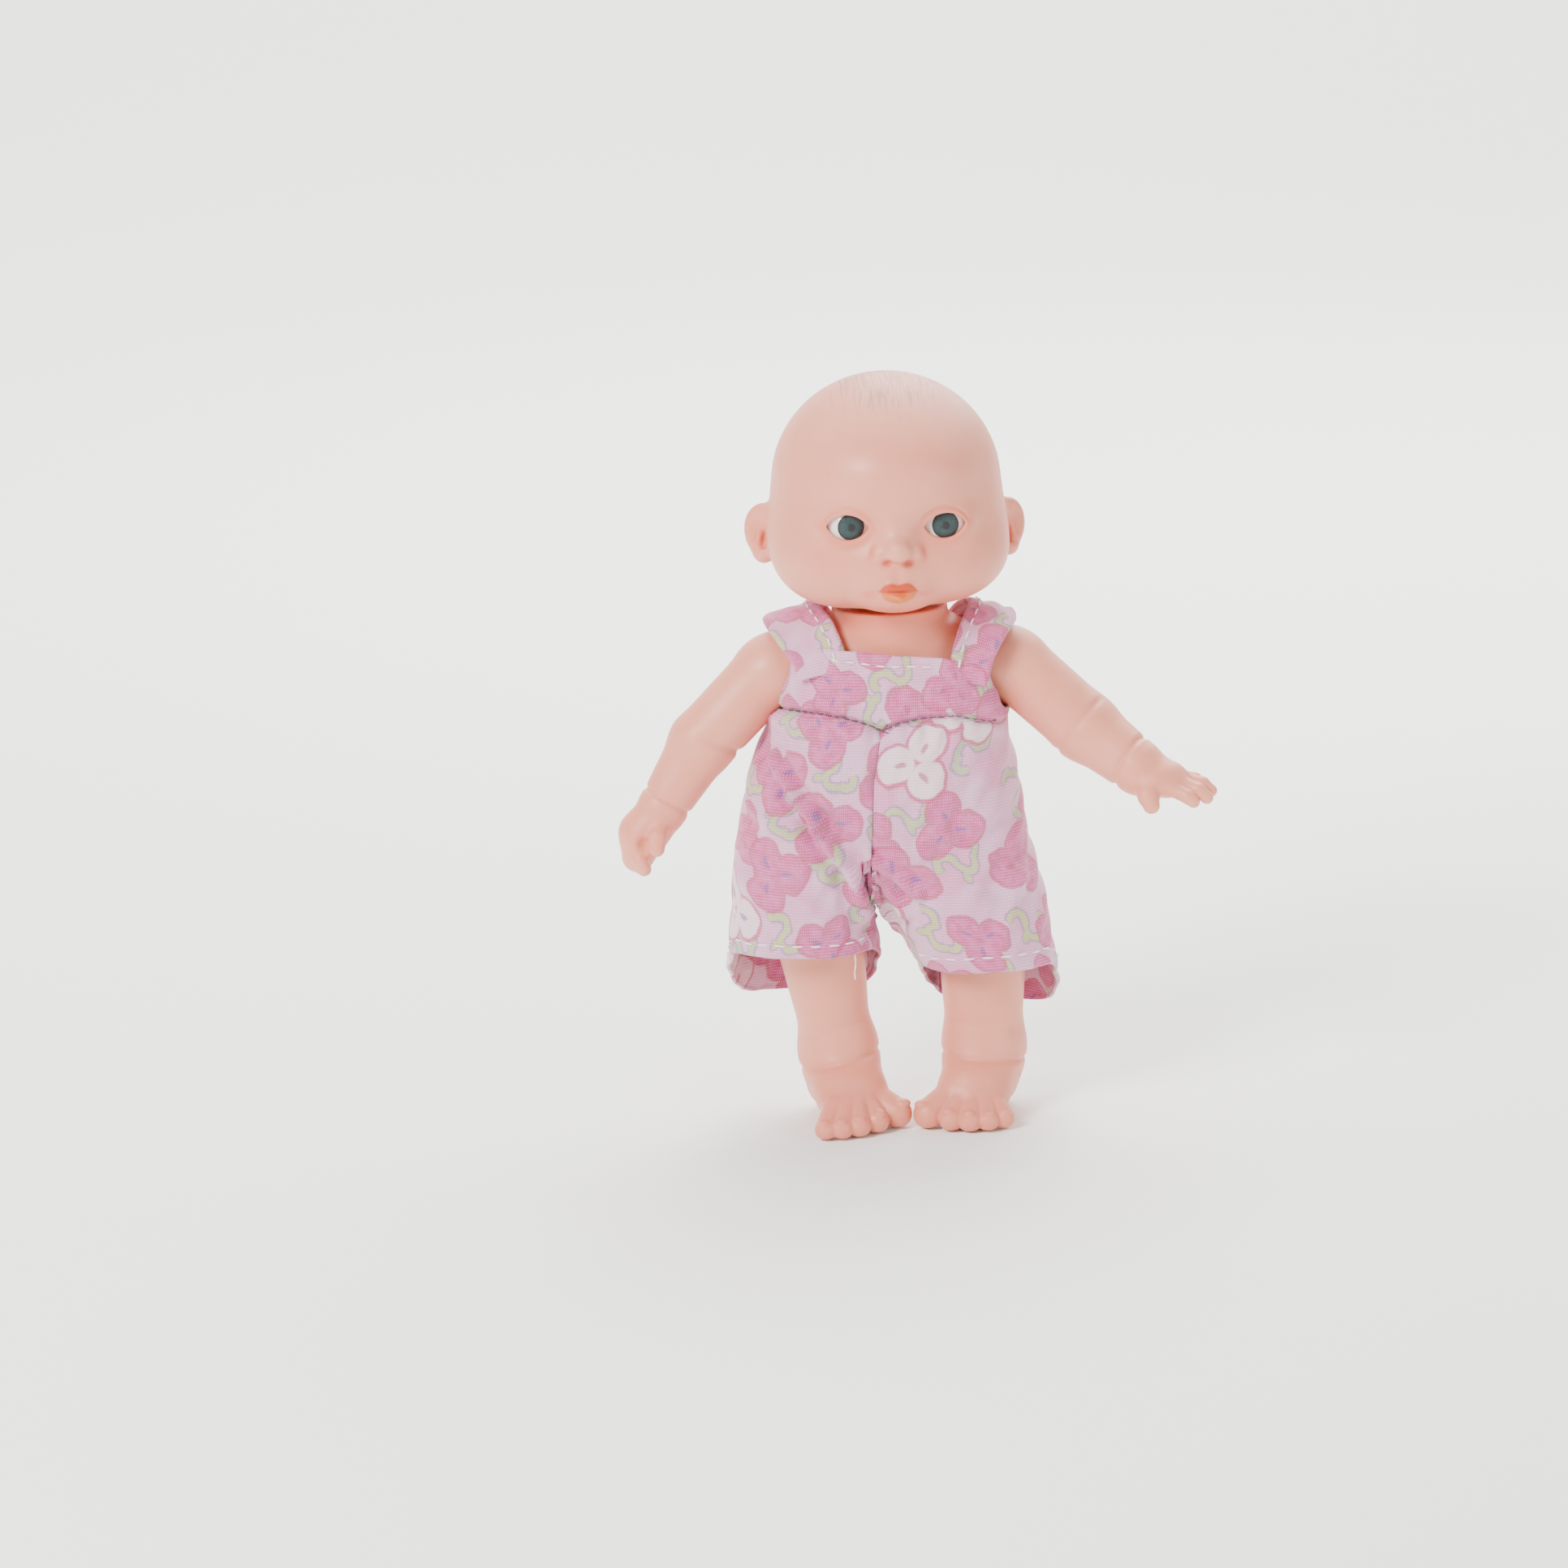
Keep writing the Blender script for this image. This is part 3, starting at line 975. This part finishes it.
def bodice_rows():
    """The bib, sides and back as one band, from the top edge down to the waist seam."""
    angle = np.linspace(-math.pi, math.pi, 241)
    rows = []
    base_x, base_y = superloop(angle, 30.6, 20.8, 2.6)
    front = base_y < 0
    top = np.where(front, 127.0 - 0.10 * base_x - 0.35 * np.maximum(base_x - 15, 0), 124.0)
    side = soft(np.abs(base_x), 25.0, 30.0)
    low = waist_seam(base_x, base_y) - 0.5
    top = top * (1 - side) + (low + 3.6) * side
    for t in np.linspace(0, 1, 34):
        z = top * (1 - t) + low * t
        rise = soft(z, 108, 127)
        wide = 30.6 - 1.6 * rise
        deep = np.where(front, 21.2 - 2.6 * rise, 21.2 - 3.2 * rise)
        x, y = superloop(angle, wide, deep, 2.6)
        rows.append(np.column_stack((x, y, z)))
    return even_rows(rows)


def cloth_waves(points, strength=1.0):
    """Small uneven undulations of worn cloth."""
    x, y, z = points.T
    return strength * (0.22 * np.sin(x * 0.42 + z * 0.23 + 1.0) * np.sin(z * 0.31 - y * 0.2)
                       + 0.14 * np.sin(x * 0.9 - z * 0.55 + y * 0.35))


def push_out(rows, amount, closed=False):
    """Moves a grid of cloth along its own normals."""
    along = np.gradient(rows, axis=1)
    if closed:
        along[:, 0] = along[:, -1] = rows[:, 1] - rows[:, -2]
    down = np.gradient(rows, axis=0)
    normal = np.cross(down, along)
    normal /= np.maximum(np.linalg.norm(normal, axis=2, keepdims=True), 1e-9)
    return rows + normal * amount[..., None]


def make_bodice(material):
    rows = bodice_rows()
    flat = rows.reshape(-1, 3)
    x, y, z = flat.T
    lift = cloth_waves(flat, 1.2)
    seam = -1.5 * soft(waist_seam(x, y) + 1.6 - z, 0, 2.0)
    pull = to_segment(x, z, (-13, 125), (-22, 112))
    lift += 0.45 * np.exp(-(pull / 1.6) ** 2) * (y < 0)
    pull = to_segment(x, z, (16, 121), (25, 112))
    lift += 0.5 * np.exp(-(pull / 1.5) ** 2) * (y < 0)
    rows = push_out(rows, (lift + seam).reshape(rows.shape[:2]), closed=True)
    laid = lay(rows)
    laid[..., 0] -= laid[:, 120:121, 0]
    laid[..., 1] = rows[..., 2] - 108
    count = rows.shape[1]
    quads = grid_quads(len(rows), count)
    marks = {"cloth": laid.reshape(-1, 3)}
    obj = sheet_object("romper_bodice", "torso", ["romper_bib", "romper_back_panel"], rows.reshape(-1, 3), quads,
                       marks, material)
    return obj, rows


def strap_rows(side):
    """One strap from the bib, over the shoulder, to the back panel."""
    if side == "right":
        centre = [(-17.4, -17.3, 122.0), (-18.6, -16.9, 127.6), (-21.9, -13.0, 133.0), (-25.4, -5.5, 136.0),
                  (-25.6, 3.0, 136.0), (-22.6, 10.8, 132.4), (-19.4, 15.6, 127.4), (-18.4, 17.6, 122.6)]
        width = [13.6, 13.9, 15.2, 15.6, 15.0, 14.0, 13.5, 13.2]
    else:
        centre = [(19.6, -17.0, 118.6), (21.0, -16.4, 126.2), (24.0, -12.4, 132.3), (26.9, -5.0, 135.4),
                  (26.4, 3.0, 135.6), (23.2, 10.8, 132.2), (19.6, 15.6, 127.4), (18.4, 17.6, 122.6)]
        width = [10.6, 11.0, 12.2, 12.9, 12.8, 12.6, 13.0, 13.2]
    centre, width = np.array(centre), np.array(width)
    knots = np.linspace(0, 1, len(centre))
    steps = np.linspace(0, 1, 70)
    smooth = []
    for k in range(3):
        fit = np.interp(steps, knots, centre[:, k])
        for _ in range(14):
            fit[1:-1] = (fit[:-2] + fit[1:-1] * 2 + fit[2:]) / 4
        smooth.append(fit)
    line = np.column_stack(smooth)
    wide = np.interp(steps, knots, width)
    along = np.gradient(line, axis=0)
    along /= np.linalg.norm(along, axis=1, keepdims=True)
    across = np.tile(np.array([1.0, 0, 0]), (len(line), 1))
    across[:, 2] = -0.20 * SIDES[side] * soft(line[:, 2], 126, 134)  # the outer edge hangs over the shoulder
    across -= along * (across * along).sum(1, keepdims=True)
    across /= np.linalg.norm(across, axis=1, keepdims=True)
    share = np.linspace(-0.5, 0.5, 23)
    rows = line[:, None] + across[:, None] * (share[None, :, None] * wide[:, None, None])
    return rows


def make_straps(material):
    made = []
    for side in SIDES:
        rows = strap_rows(side)
        flat = rows.reshape(-1, 3)
        share = np.tile(np.linspace(-0.5, 0.5, rows.shape[1]), len(rows))
        inner = share if side == "right" else -share
        # a folded and stitched band along the edge nearest the neck, and rolled edges
        lift = 0.55 * soft(inner, 0.18, 0.24) - 0.9 * soft(np.abs(share), 0.44, 0.5) + cloth_waves(flat, 1.4)
        top = np.exp(-((flat[:, 1] + 2) / 6.5) ** 2)
        lift += 0.5 * top * np.cos(share * 9)
        rows = push_out(rows, -lift.reshape(rows.shape[:2]))
        laid = lay(rows)
        laid[..., 0] += 40 if side == "left" else 4
        laid[..., 1] += 9 if side == "left" else 31
        quads = grid_quads(len(rows), rows.shape[1])[:, ::-1]
        marks = {"cloth": laid.reshape(-1, 3)}
        obj = sheet_object(f"romper_strap_{side}", "torso", [f"strap_{side}"], rows.reshape(-1, 3), quads, marks,
                           material, thick=1.3)
        made.append((side, obj, rows))
    return made


TROUSER_HALF = {  # outer and inner edges as (height, distance out); the hem in front and behind
    "right": {"edge": [(110, 31.6), (105, 32.7), (97, 36.3), (88, 39.4), (74, 41.8), (60, 43.1), (46, 44.4),
                       (28, 45.2)],
              "hem": (46.9, 28.5), "inner": [(74, 7.2), (60, 5.7), (46, 5.0), (28, 6.5)]},
    "left": {"edge": [(110, 29.0), (104.5, 29.6), (95, 31.4), (85, 33.2), (74, 35.2), (65, 36.8), (45, 40.3),
                      (28, 42.4)],
             "hem": (41.7, 24.0), "inner": [(74, -5.9), (60, -4.4), (50, -0.4), (40, 5.2), (28, 9.6)]},
}
SEAM = [(110, -3.3), (105, -3.4), (94, -5.3), (81, -5.9), (73, -6.6), (60, -5.1), (46, -4.4), (28, -4.2)]


def table(rows, z):
    rows = sorted(rows)
    return np.interp(z, [r[0] for r in rows], [r[1] for r in rows])


def crotch_height(y):
    """Height of the seam between the legs: it drops under the torso."""
    return np.interp(np.abs(y), [9, 13, 17, 20, 22], [60.3, 62.6, 67.5, 72.5, 73.5])


def trouser_grid(side):
    """Outer face of one trouser half: waist to hem, from the front seam round to the back seam, and then,
    below the crotch, back to the front along the inside of the leg."""
    sign = SIDES[side]
    plan = TROUSER_HALF[side]
    outer, inner = 150, 46
    above, below = 46, 46
    angle = np.linspace(0, math.pi, outer + 1)
    u = np.linspace(0, 1, outer + 1)

    def body_arc(z):
        seam = table(SEAM, z)
        edge = sign * table(plan["edge"], z) - seam
        deep = np.interp(z, [28, 70, 85, 108], [20.5, 22.0, 22.8, 21.6])
        x, y = superloop(angle, np.abs(edge), deep, 2.35)
        return np.column_stack((seam + sign * x + sign * 0.05, y, z))

    def leg_loop(z, phi):
        near = table(plan["inner"], z) * sign
        far = table(plan["edge"], z) * sign
        middle, wide = (near + far) / 2, np.abs(far - near) / 2
        deep = np.interp(z, [28, 46, 74], [20.3, 20.6, 20.4])
        x, y = superloop(phi, wide, deep, 2.12)
        return np.column_stack((middle + sign * x, y + 0.6, z))

    start, stop = math.radians(-58), math.radians(238)
    rows = []
    guess = body_arc(np.full(outer + 1, 109.0))
    waist_z = waist_seam(guess[:, 0], guess[:, 1])
    mid_z = np.full(outer + 1, 73.0)
    for i in range(above):
        z = waist_z + (mid_z - waist_z) * i / above
        arc = body_arc(z)
        rows.append(np.vstack((arc, np.full((inner, 3), np.nan))))
    across_y = np.cos(np.linspace(0, math.pi, inner + 2))[1:-1]  # back to front
    for i in range(below + 1):
        f = i / below
        phi_out = start + (stop - start) * u
        phi_in = stop + (start + 2 * math.pi - stop) * np.linspace(0, 1, inner + 2)[1:-1]
        phi = np.concatenate((phi_out, phi_in))
        front, back = plan["hem"]
        hem = front + (back - front) * soft(-np.cos(phi), -0.55, 0.85)
        hem = hem + 0.35 * np.sin(phi * 3 + 1)
        wall_y = across_y * 22.0
        z_top = np.concatenate((mid_z, crotch_height(wall_y)))
        z = z_top + (hem - z_top) * f
        arc = body_arc(z[:outer + 1])
        bulge = 1.6 * (1 - (wall_y / 22) ** 2) * soft(f, 0.04, 0.3)
        wall = np.column_stack((np.full(inner, table(SEAM, 73)) + sign * (0.02 + bulge), wall_y, z[outer + 1:]))
        body = np.vstack((arc, wall))
        leg = leg_loop(z, phi)
        w = soft(f, 0.0, 0.62)
        rows.append(body * (1 - w) + leg * w)
    return np.array(rows), outer, inner, above, below


def make_trousers(material):
    made = []
    for side, sign in SIDES.items():
        rows, outer, inner, above, below = trouser_grid(side)
        high, wide = rows.shape[:2]
        # even out the spacing a little, and find the normals on a filled grid
        full = rows.copy()
        for i in range(above):
            full[i, outer + 1:] = rows[above, outer + 1:]
        even = full.copy()
        along = np.roll(full, -1, 1) - np.roll(full, 1, 1)
        along[:above, outer] = full[:above, outer] - full[:above, outer - 1]
        along[:above, 0] = full[:above, 1] - full[:above, 0]
        down = np.gradient(full, axis=0)
        down[above:, outer + 1:] = np.gradient(full[above:, outer + 1:], axis=0)
        down[:above, outer + 1:] = (0, 0, -1)
        normal = np.cross(down, along) * sign
        normal /= np.maximum(np.linalg.norm(normal, axis=2, keepdims=True), 1e-9)
        for _ in range(3):
            normal[above:] = (np.roll(normal[above:], 1, 1) + 2 * normal[above:] + np.roll(normal[above:], -1, 1))
            normal /= np.maximum(np.linalg.norm(normal, axis=2, keepdims=True), 1e-9)
        flat = full.reshape(-1, 3)
        x, y, z = flat.T
        front = soft(-y, 0, 8)
        back = soft(y, 0, 8)
        lift = cloth_waves(flat, 1.6)
        lift += 0.5 * np.sin(x * 0.33 + 2.0) * np.cos(z * 0.16 + x * 0.1) * soft(z, 40, 60)
        below_seam = waist_seam(x, y) - z
        lift -= 1.9 * np.exp(-(np.maximum(below_seam, 0) / 0.9) ** 2)
        lift += 0.6 * np.exp(-((below_seam - 2.6) / 2.2) ** 2)
        gather = soft(z, 96, 108)
        lift += 0.35 * gather * np.sin(x * 1.35 + np.sin(z * 0.4)) * (front + back)
        # folds in front: from, to, width and height
        creases = {
            "right": [((-26.5, 91), (-20.5, 82.5), 1.6, 2.4), ((-20.5, 82.5), (-11.0, 68.5), 1.8, 2.9),
                      ((-11.0, 68.5), (-8.0, 56), 2.0, 1.6), ((-31.5, 99), (-27.0, 90), 1.5, 1.7),
                      ((-38, 86), (-30, 81), 2.0, 0.7), ((-40, 66), (-26, 71), 2.4, 0.6)],
            "left": [((-5.5, 72.5), (4.5, 64.0), 1.7, 1.3), ((-4.5, 67), (1.5, 56.5), 1.5, 1.0),
                     ((12, 79), (1, 73.0), 2.2, 0.7), ((31, 88), (21, 82), 2.4, 0.7),
                     ((35, 64), (22, 70), 2.6, 0.6), ((27, 50), (31, 66), 2.4, 0.6)],
        }[side]
        for a, b, width, height in creases:
            off = to_segment(x, z, a, b)
            # a ridge with a hollow on its lower side
            lift += front * height * (np.exp(-(off / width) ** 2) - 0.85 * np.exp(-((off - 1.9 * width) / width) ** 2))
        behind = (((18 * sign, 60), (6 * sign, 74), 2.4, 0.9), ((30 * sign, 78), (14 * sign, 84), 2.8, 0.7))
        for a, b, width, height in behind:
            off = to_segment(x, z, a, b)
            lift += back * height * np.exp(-(off / width) ** 2)
        # the seam down the middle sinks, the crotch is drawn in, and the hem's fold is a little thicker
        number = np.tile(np.arange(wide), high)
        row_no = np.repeat(np.arange(high), wide)
        edge_gap = np.minimum(number, np.abs(number - outer))
        calm = np.where(number > outer, soft(row_no - above, 1, 14), 1.0)
        lift *= calm
        on_body = row_no < above
        lift -= 1.2 * np.exp(-(edge_gap / 2.0) ** 2) * on_body * (number <= outer) * soft(above - row_no, -2, 8)
        to_hem = (high - 1 - row_no)
        lift += 0.28 * soft(6.5 - to_hem, 0, 1.5) - 0.5 * (to_hem == 0)
        full = full + normal * lift.reshape(high, wide)[..., None]
        # keep each half on its own side of the seam
        seam_x = table(SEAM, full[..., 2])
        full[..., 0] = sign * np.maximum(sign * (full[..., 0] - seam_x), 0.02) + seam_x
        # distances along the cloth, for the print
        laid = np.zeros(full.shape)
        across = np.linalg.norm(np.diff(even, axis=1), axis=2)
        laid[:, 1:, 0] = np.cumsum(across, 1)
        laid[:above, outer + 1:, 0] = 0
        laid[..., 0] = laid[..., 0] * sign + (60 if sign > 0 else -13)
        laid[..., 1] = even[..., 2] - 108
        number_of = np.full((high, wide), -1)
        keep = np.ones((high, wide), bool)
        keep[:above, outer + 1:] = False
        number_of[keep] = np.arange(keep.sum())
        quads = []
        for i in range(high - 1):
            last = outer if i < above else wide
            for j in range(last):
                k = (j + 1) % wide
                quad = (number_of[i, j], number_of[i + 1, j], number_of[i + 1, k], number_of[i, k])
                quads.append(quad if sign > 0 else quad[::-1])
        marks = {"cloth": laid[keep]}
        obj = sheet_object(f"romper_trousers_{side}", None, [f"romper_leg_{side}"], full[keep], quads, marks, material)
        made.append((side, obj, full))
    return made


def dashes(name, line, normals, material, long=2.5, gap=1.5, thick=0.26):
    """Running stitches: short rounded threads along a line lying on the cloth."""
    steps = np.linalg.norm(np.diff(line, axis=0), axis=1)
    along = np.concatenate(([0], np.cumsum(steps)))
    points, quads = [], []
    place = 0.6
    while place + long < along[-1]:
        where = np.linspace(place, place + long, 7)
        spot = np.column_stack([np.interp(where, along, line[:, k]) for k in range(3)])
        up = np.column_stack([np.interp(where, along, normals[:, k]) for k in range(3)])
        up /= np.linalg.norm(up, axis=1, keepdims=True)
        forward = np.gradient(spot, axis=0)
        forward /= np.linalg.norm(forward, axis=1, keepdims=True)
        side = np.cross(forward, up)
        arch = np.sin(np.linspace(0, math.pi, 7))
        base = len(points)
        for i in range(7):
            r = thick * (0.35 + 0.65 * arch[i] ** 0.4)
            centre = spot[i] + up[i] * (0.05 + 0.30 * arch[i])
            for a in np.linspace(0, 2 * math.pi, 8, endpoint=False):
                points.append(centre + side[i] * r * math.cos(a) + up[i] * r * 0.8 * math.sin(a))
        for i in range(6):
            for j in range(8):
                k = (j + 1) % 8
                quads.append((base + i * 8 + j, base + i * 8 + k, base + (i + 1) * 8 + k, base + (i + 1) * 8 + j))
        for i, order in ((0, (0, 1, 2, 3)), (6, (3, 2, 1, 0))):
            for half in ((0, 1, 2, 3), (3, 4, 5, 6), (6, 7, 0, 3)):
                quads.append([base + i * 8 + half[o] for o in order][::-1])
        place += long + gap
    return link(name, quick_mesh(name, np.array(points), quads, material))


def loop_normals(rows, index):
    along = np.gradient(rows, axis=1)[index]
    down = np.gradient(rows, axis=0)[index]
    normal = np.cross(down, along)
    normal /= np.maximum(np.linalg.norm(normal, axis=1, keepdims=True), 1e-9)
    outward = rows[index] - rows[index].mean(0)
    flip = np.sign((normal * outward).sum(1, keepdims=True))
    return normal * flip


def make_placket(rows, cotton):
    """The romper's back opening: an overlapping strip of the panel, closed with touch-fasten tape."""
    tape = Nodes("touch_tape")
    place = tape.place()
    loops = tape.new("ShaderNodeTexVoronoi", {"Vector": place, "Scale": 2.4}).outputs["Distance"]
    shade = tape.mix(loops, (0.90, 0.89, 0.88), (0.62, 0.60, 0.60))
    tape.finish(shade, 0.9, tape.bump(loops, 0.25, 0.8), Sheen_Weight=0.3)
    plies = [("closure_loop_tape_strip", 4.0, 0.05, 0.6, tape.material, "closure_loop_tape", "closure_tape"),
             ("closure_hook_tape_strip", 4.0, 0.68, 0.6, tape.material, "closure_hook_tape", "closure_tape"),
             ("romper_placket", 5.2, 1.32, 0.9, cotton, "romper_back_panel", "romper_cotton")]
    for name, half, out, thick, material, node, slot in plies:
        x = np.linspace(-half, half, 25) - 0.6
        lines = []
        for line in rows[3 if node == "romper_back_panel" else 6:-4]:
            back = line[line[:, 1] > 5]
            order = np.argsort(back[:, 0])
            y, z = (np.interp(x, back[order, 0], back[order, k]) for k in (1, 2))
            edge = 0.5 * soft(np.abs(x + 0.6), half - 1.2, half)
            lines.append(np.column_stack((x, y + out + thick - edge * (node == "romper_back_panel"), z)))
        grid = np.array(lines)
        laid = lay(grid)
        laid[..., 0] += 78
        laid[..., 1] = grid[..., 2] - 108
        quads = grid_quads(*grid.shape[:2])[:, ::-1]
        ply = sheet_object(name, "torso", [node], grid.reshape(-1, 3), quads, {"cloth": laid.reshape(-1, 3)},
                           material, thick=thick)


def thread_material():
    n = Nodes("white_thread")
    place = n.place()
    twist = n.new("ShaderNodeTexWave", {"Vector": place, "Scale": 3.0, "Distortion": 2.0}).outputs["Fac"]
    colour = n.mix(twist, (0.86, 0.78, 0.84), (0.95, 0.92, 0.94))
    return n.finish(colour, 0.75, n.bump(twist, 0.05, 0.6), Sheen_Weight=0.2)


def make_romper():
    cotton, thread = print_material(), thread_material()
    pieces = []
    obj, rows = make_bodice(cotton)
    index = 5
    inside = (rows[index][:, 1] < 0) & (rows[index][:, 0] > -20) & (rows[index][:, 0] < 13)
    stitch = dashes("stitch_bib", rows[index][inside], loop_normals(rows, index)[inside], thread)
    low_edge = rows[-5]
    front = (low_edge[:, 1] < 0) & (np.abs(low_edge[:, 0]) < 27)
    outward = loop_normals(rows, len(rows) - 5)[front]
    seam_line = low_edge[front].copy()
    seam_line[:, 2] = waist_seam(seam_line[:, 0], seam_line[:, 1])
    grey = plain("seam_thread", (0.06, 0.035, 0.06), (0.11, 0.06, 0.09), 0.8, scale=1.5)
    waist = dashes("stitch_waist", seam_line + outward * -0.35, outward, grey, long=2.0, gap=0.35, thick=0.2)
    middle = np.argmin(np.abs(seam_line[:, 0] + 2.6))
    knot = seam_line[middle] + outward[middle] * 0.45
    ends = [dashes(f"thread_end_{k}", knot + np.array([(0, 0, 0), (dx, 0, dz)]), outward[[middle, middle]], grey,
                   long=math.hypot(dx, dz) - 0.7, gap=0.5, thick=0.17)
            for k, (dx, dz) in enumerate(((1.4, 1.6), (1.7, -0.7), (-1.8, 0.6)))]
    for piece in (stitch, waist, *ends):
        declare(piece, "torso", ["romper_bib"])
    make_placket(rows, cotton)
    for side, strap, rows in make_straps(cotton):
        column = 5 if side == "left" else rows.shape[1] - 6
        line = rows[4:-4, column]
        normals = loop_normals(np.transpose(rows, (1, 0, 2)), column)[4:-4]
        seam = dashes(f"stitch_strap_{side}", line, normals, thread)
        declare(seam, "torso", [f"strap_{side}"])
    for side, half, full in make_trousers(cotton):
        index = len(full) - 7
        line = full[index]
        ring = np.vstack((line, line[:1]))
        normals = loop_normals(full, index)
        seam = dashes(f"stitch_hem_{side}", ring[:118], np.vstack((normals, normals[:1]))[:118], thread, long=3.0,
                      gap=1.9, thick=0.26)
        declare(seam, None, [f"romper_leg_{side}"])
        extra = [seam]
        if side == "right":
            hang = full[-1][np.argmin(np.abs(full[-1][:, 0] + 6.6) + (full[-1][:, 1] > -14) * 50)]
            fall = np.array([hang + (0.0, 0.1, 1.0), hang + (0.3, -0.2, -2.0), hang + (-0.1, -0.3, -5.0),
                             hang + (0.2, -0.2, -8.4)])
            loose = dashes("loose_thread", fall, np.tile((0.0, -1.0, 0.0), (4, 1)), thread, long=2.6, gap=-0.3,
                           thick=0.2)
            declare(loose, None, ["romper_leg_right"])
            extra.append(loose)
        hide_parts(f"romper_leg_{side}", "romper_waist")
        for piece in (half, *extra):
            blend_leg(piece)


def blend_leg(piece):
    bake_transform(piece)


# ------------------------------------------------------------------ the CAD's own parts


def dress_cad():
    """Materials for the parts shown just as they were designed."""
    steel = plain("screw_steel", (0.50, 0.50, 0.51), (0.60, 0.60, 0.60), 0.32, 1.0, 0.9)
    black = plain("black_plastic", (0.012, 0.012, 0.014), (0.022, 0.022, 0.024), 0.42, 0.0, 0.6)
    pale = plain("case_plastic", (0.66, 0.65, 0.61), (0.72, 0.71, 0.67), 0.45, 0.0, 0.5)
    board = plain("board_green", (0.010, 0.085, 0.035), (0.016, 0.12, 0.05), 0.35, 0.0, 1.2)
    can = plain("cell_steel", (0.62, 0.62, 0.61), (0.72, 0.72, 0.71), 0.22, 1.0, 0.8)
    paper = plain("paper_cone", (0.022, 0.020, 0.018), (0.04, 0.035, 0.03), 0.85, 0.0, 1.5, 0.08)
    wire = plain("wire_red", (0.45, 0.015, 0.015), (0.55, 0.025, 0.02), 0.4, 0.0, 0.8)
    contact = plain("contact_metal", (0.62, 0.60, 0.55), (0.72, 0.70, 0.65), 0.28, 1.0, 1.1)
    moulded = skin("moulded_parts")
    chosen = {
        "torso_screws": steel, "circuit_board_screws": steel, "battery_door_screw": steel, "speaker_magnet": steel,
        "switch_plunger": black, "switch_housing": black, "sound_chip": black, "speaker_frame": black,
        "power_switch_housing": black, "power_switch_knob": black, "battery_case": pale, "circuit_board": board,
        "battery_cells": can, "battery_contacts": contact, "speaker_cone": paper, "speaker_leads": wire,
        "battery_leads": wire, "belly_button": moulded, "battery_door": moulded,
    }
    for node, material in chosen.items():
        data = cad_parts[node].data
        data.materials.clear()
        data.materials.append(material)


camera()
studio()
dress_cad()
make_head()
make_torso()
LIMB_SKIN = make_arms()
make_legs(LIMB_SKIN)
make_romper()
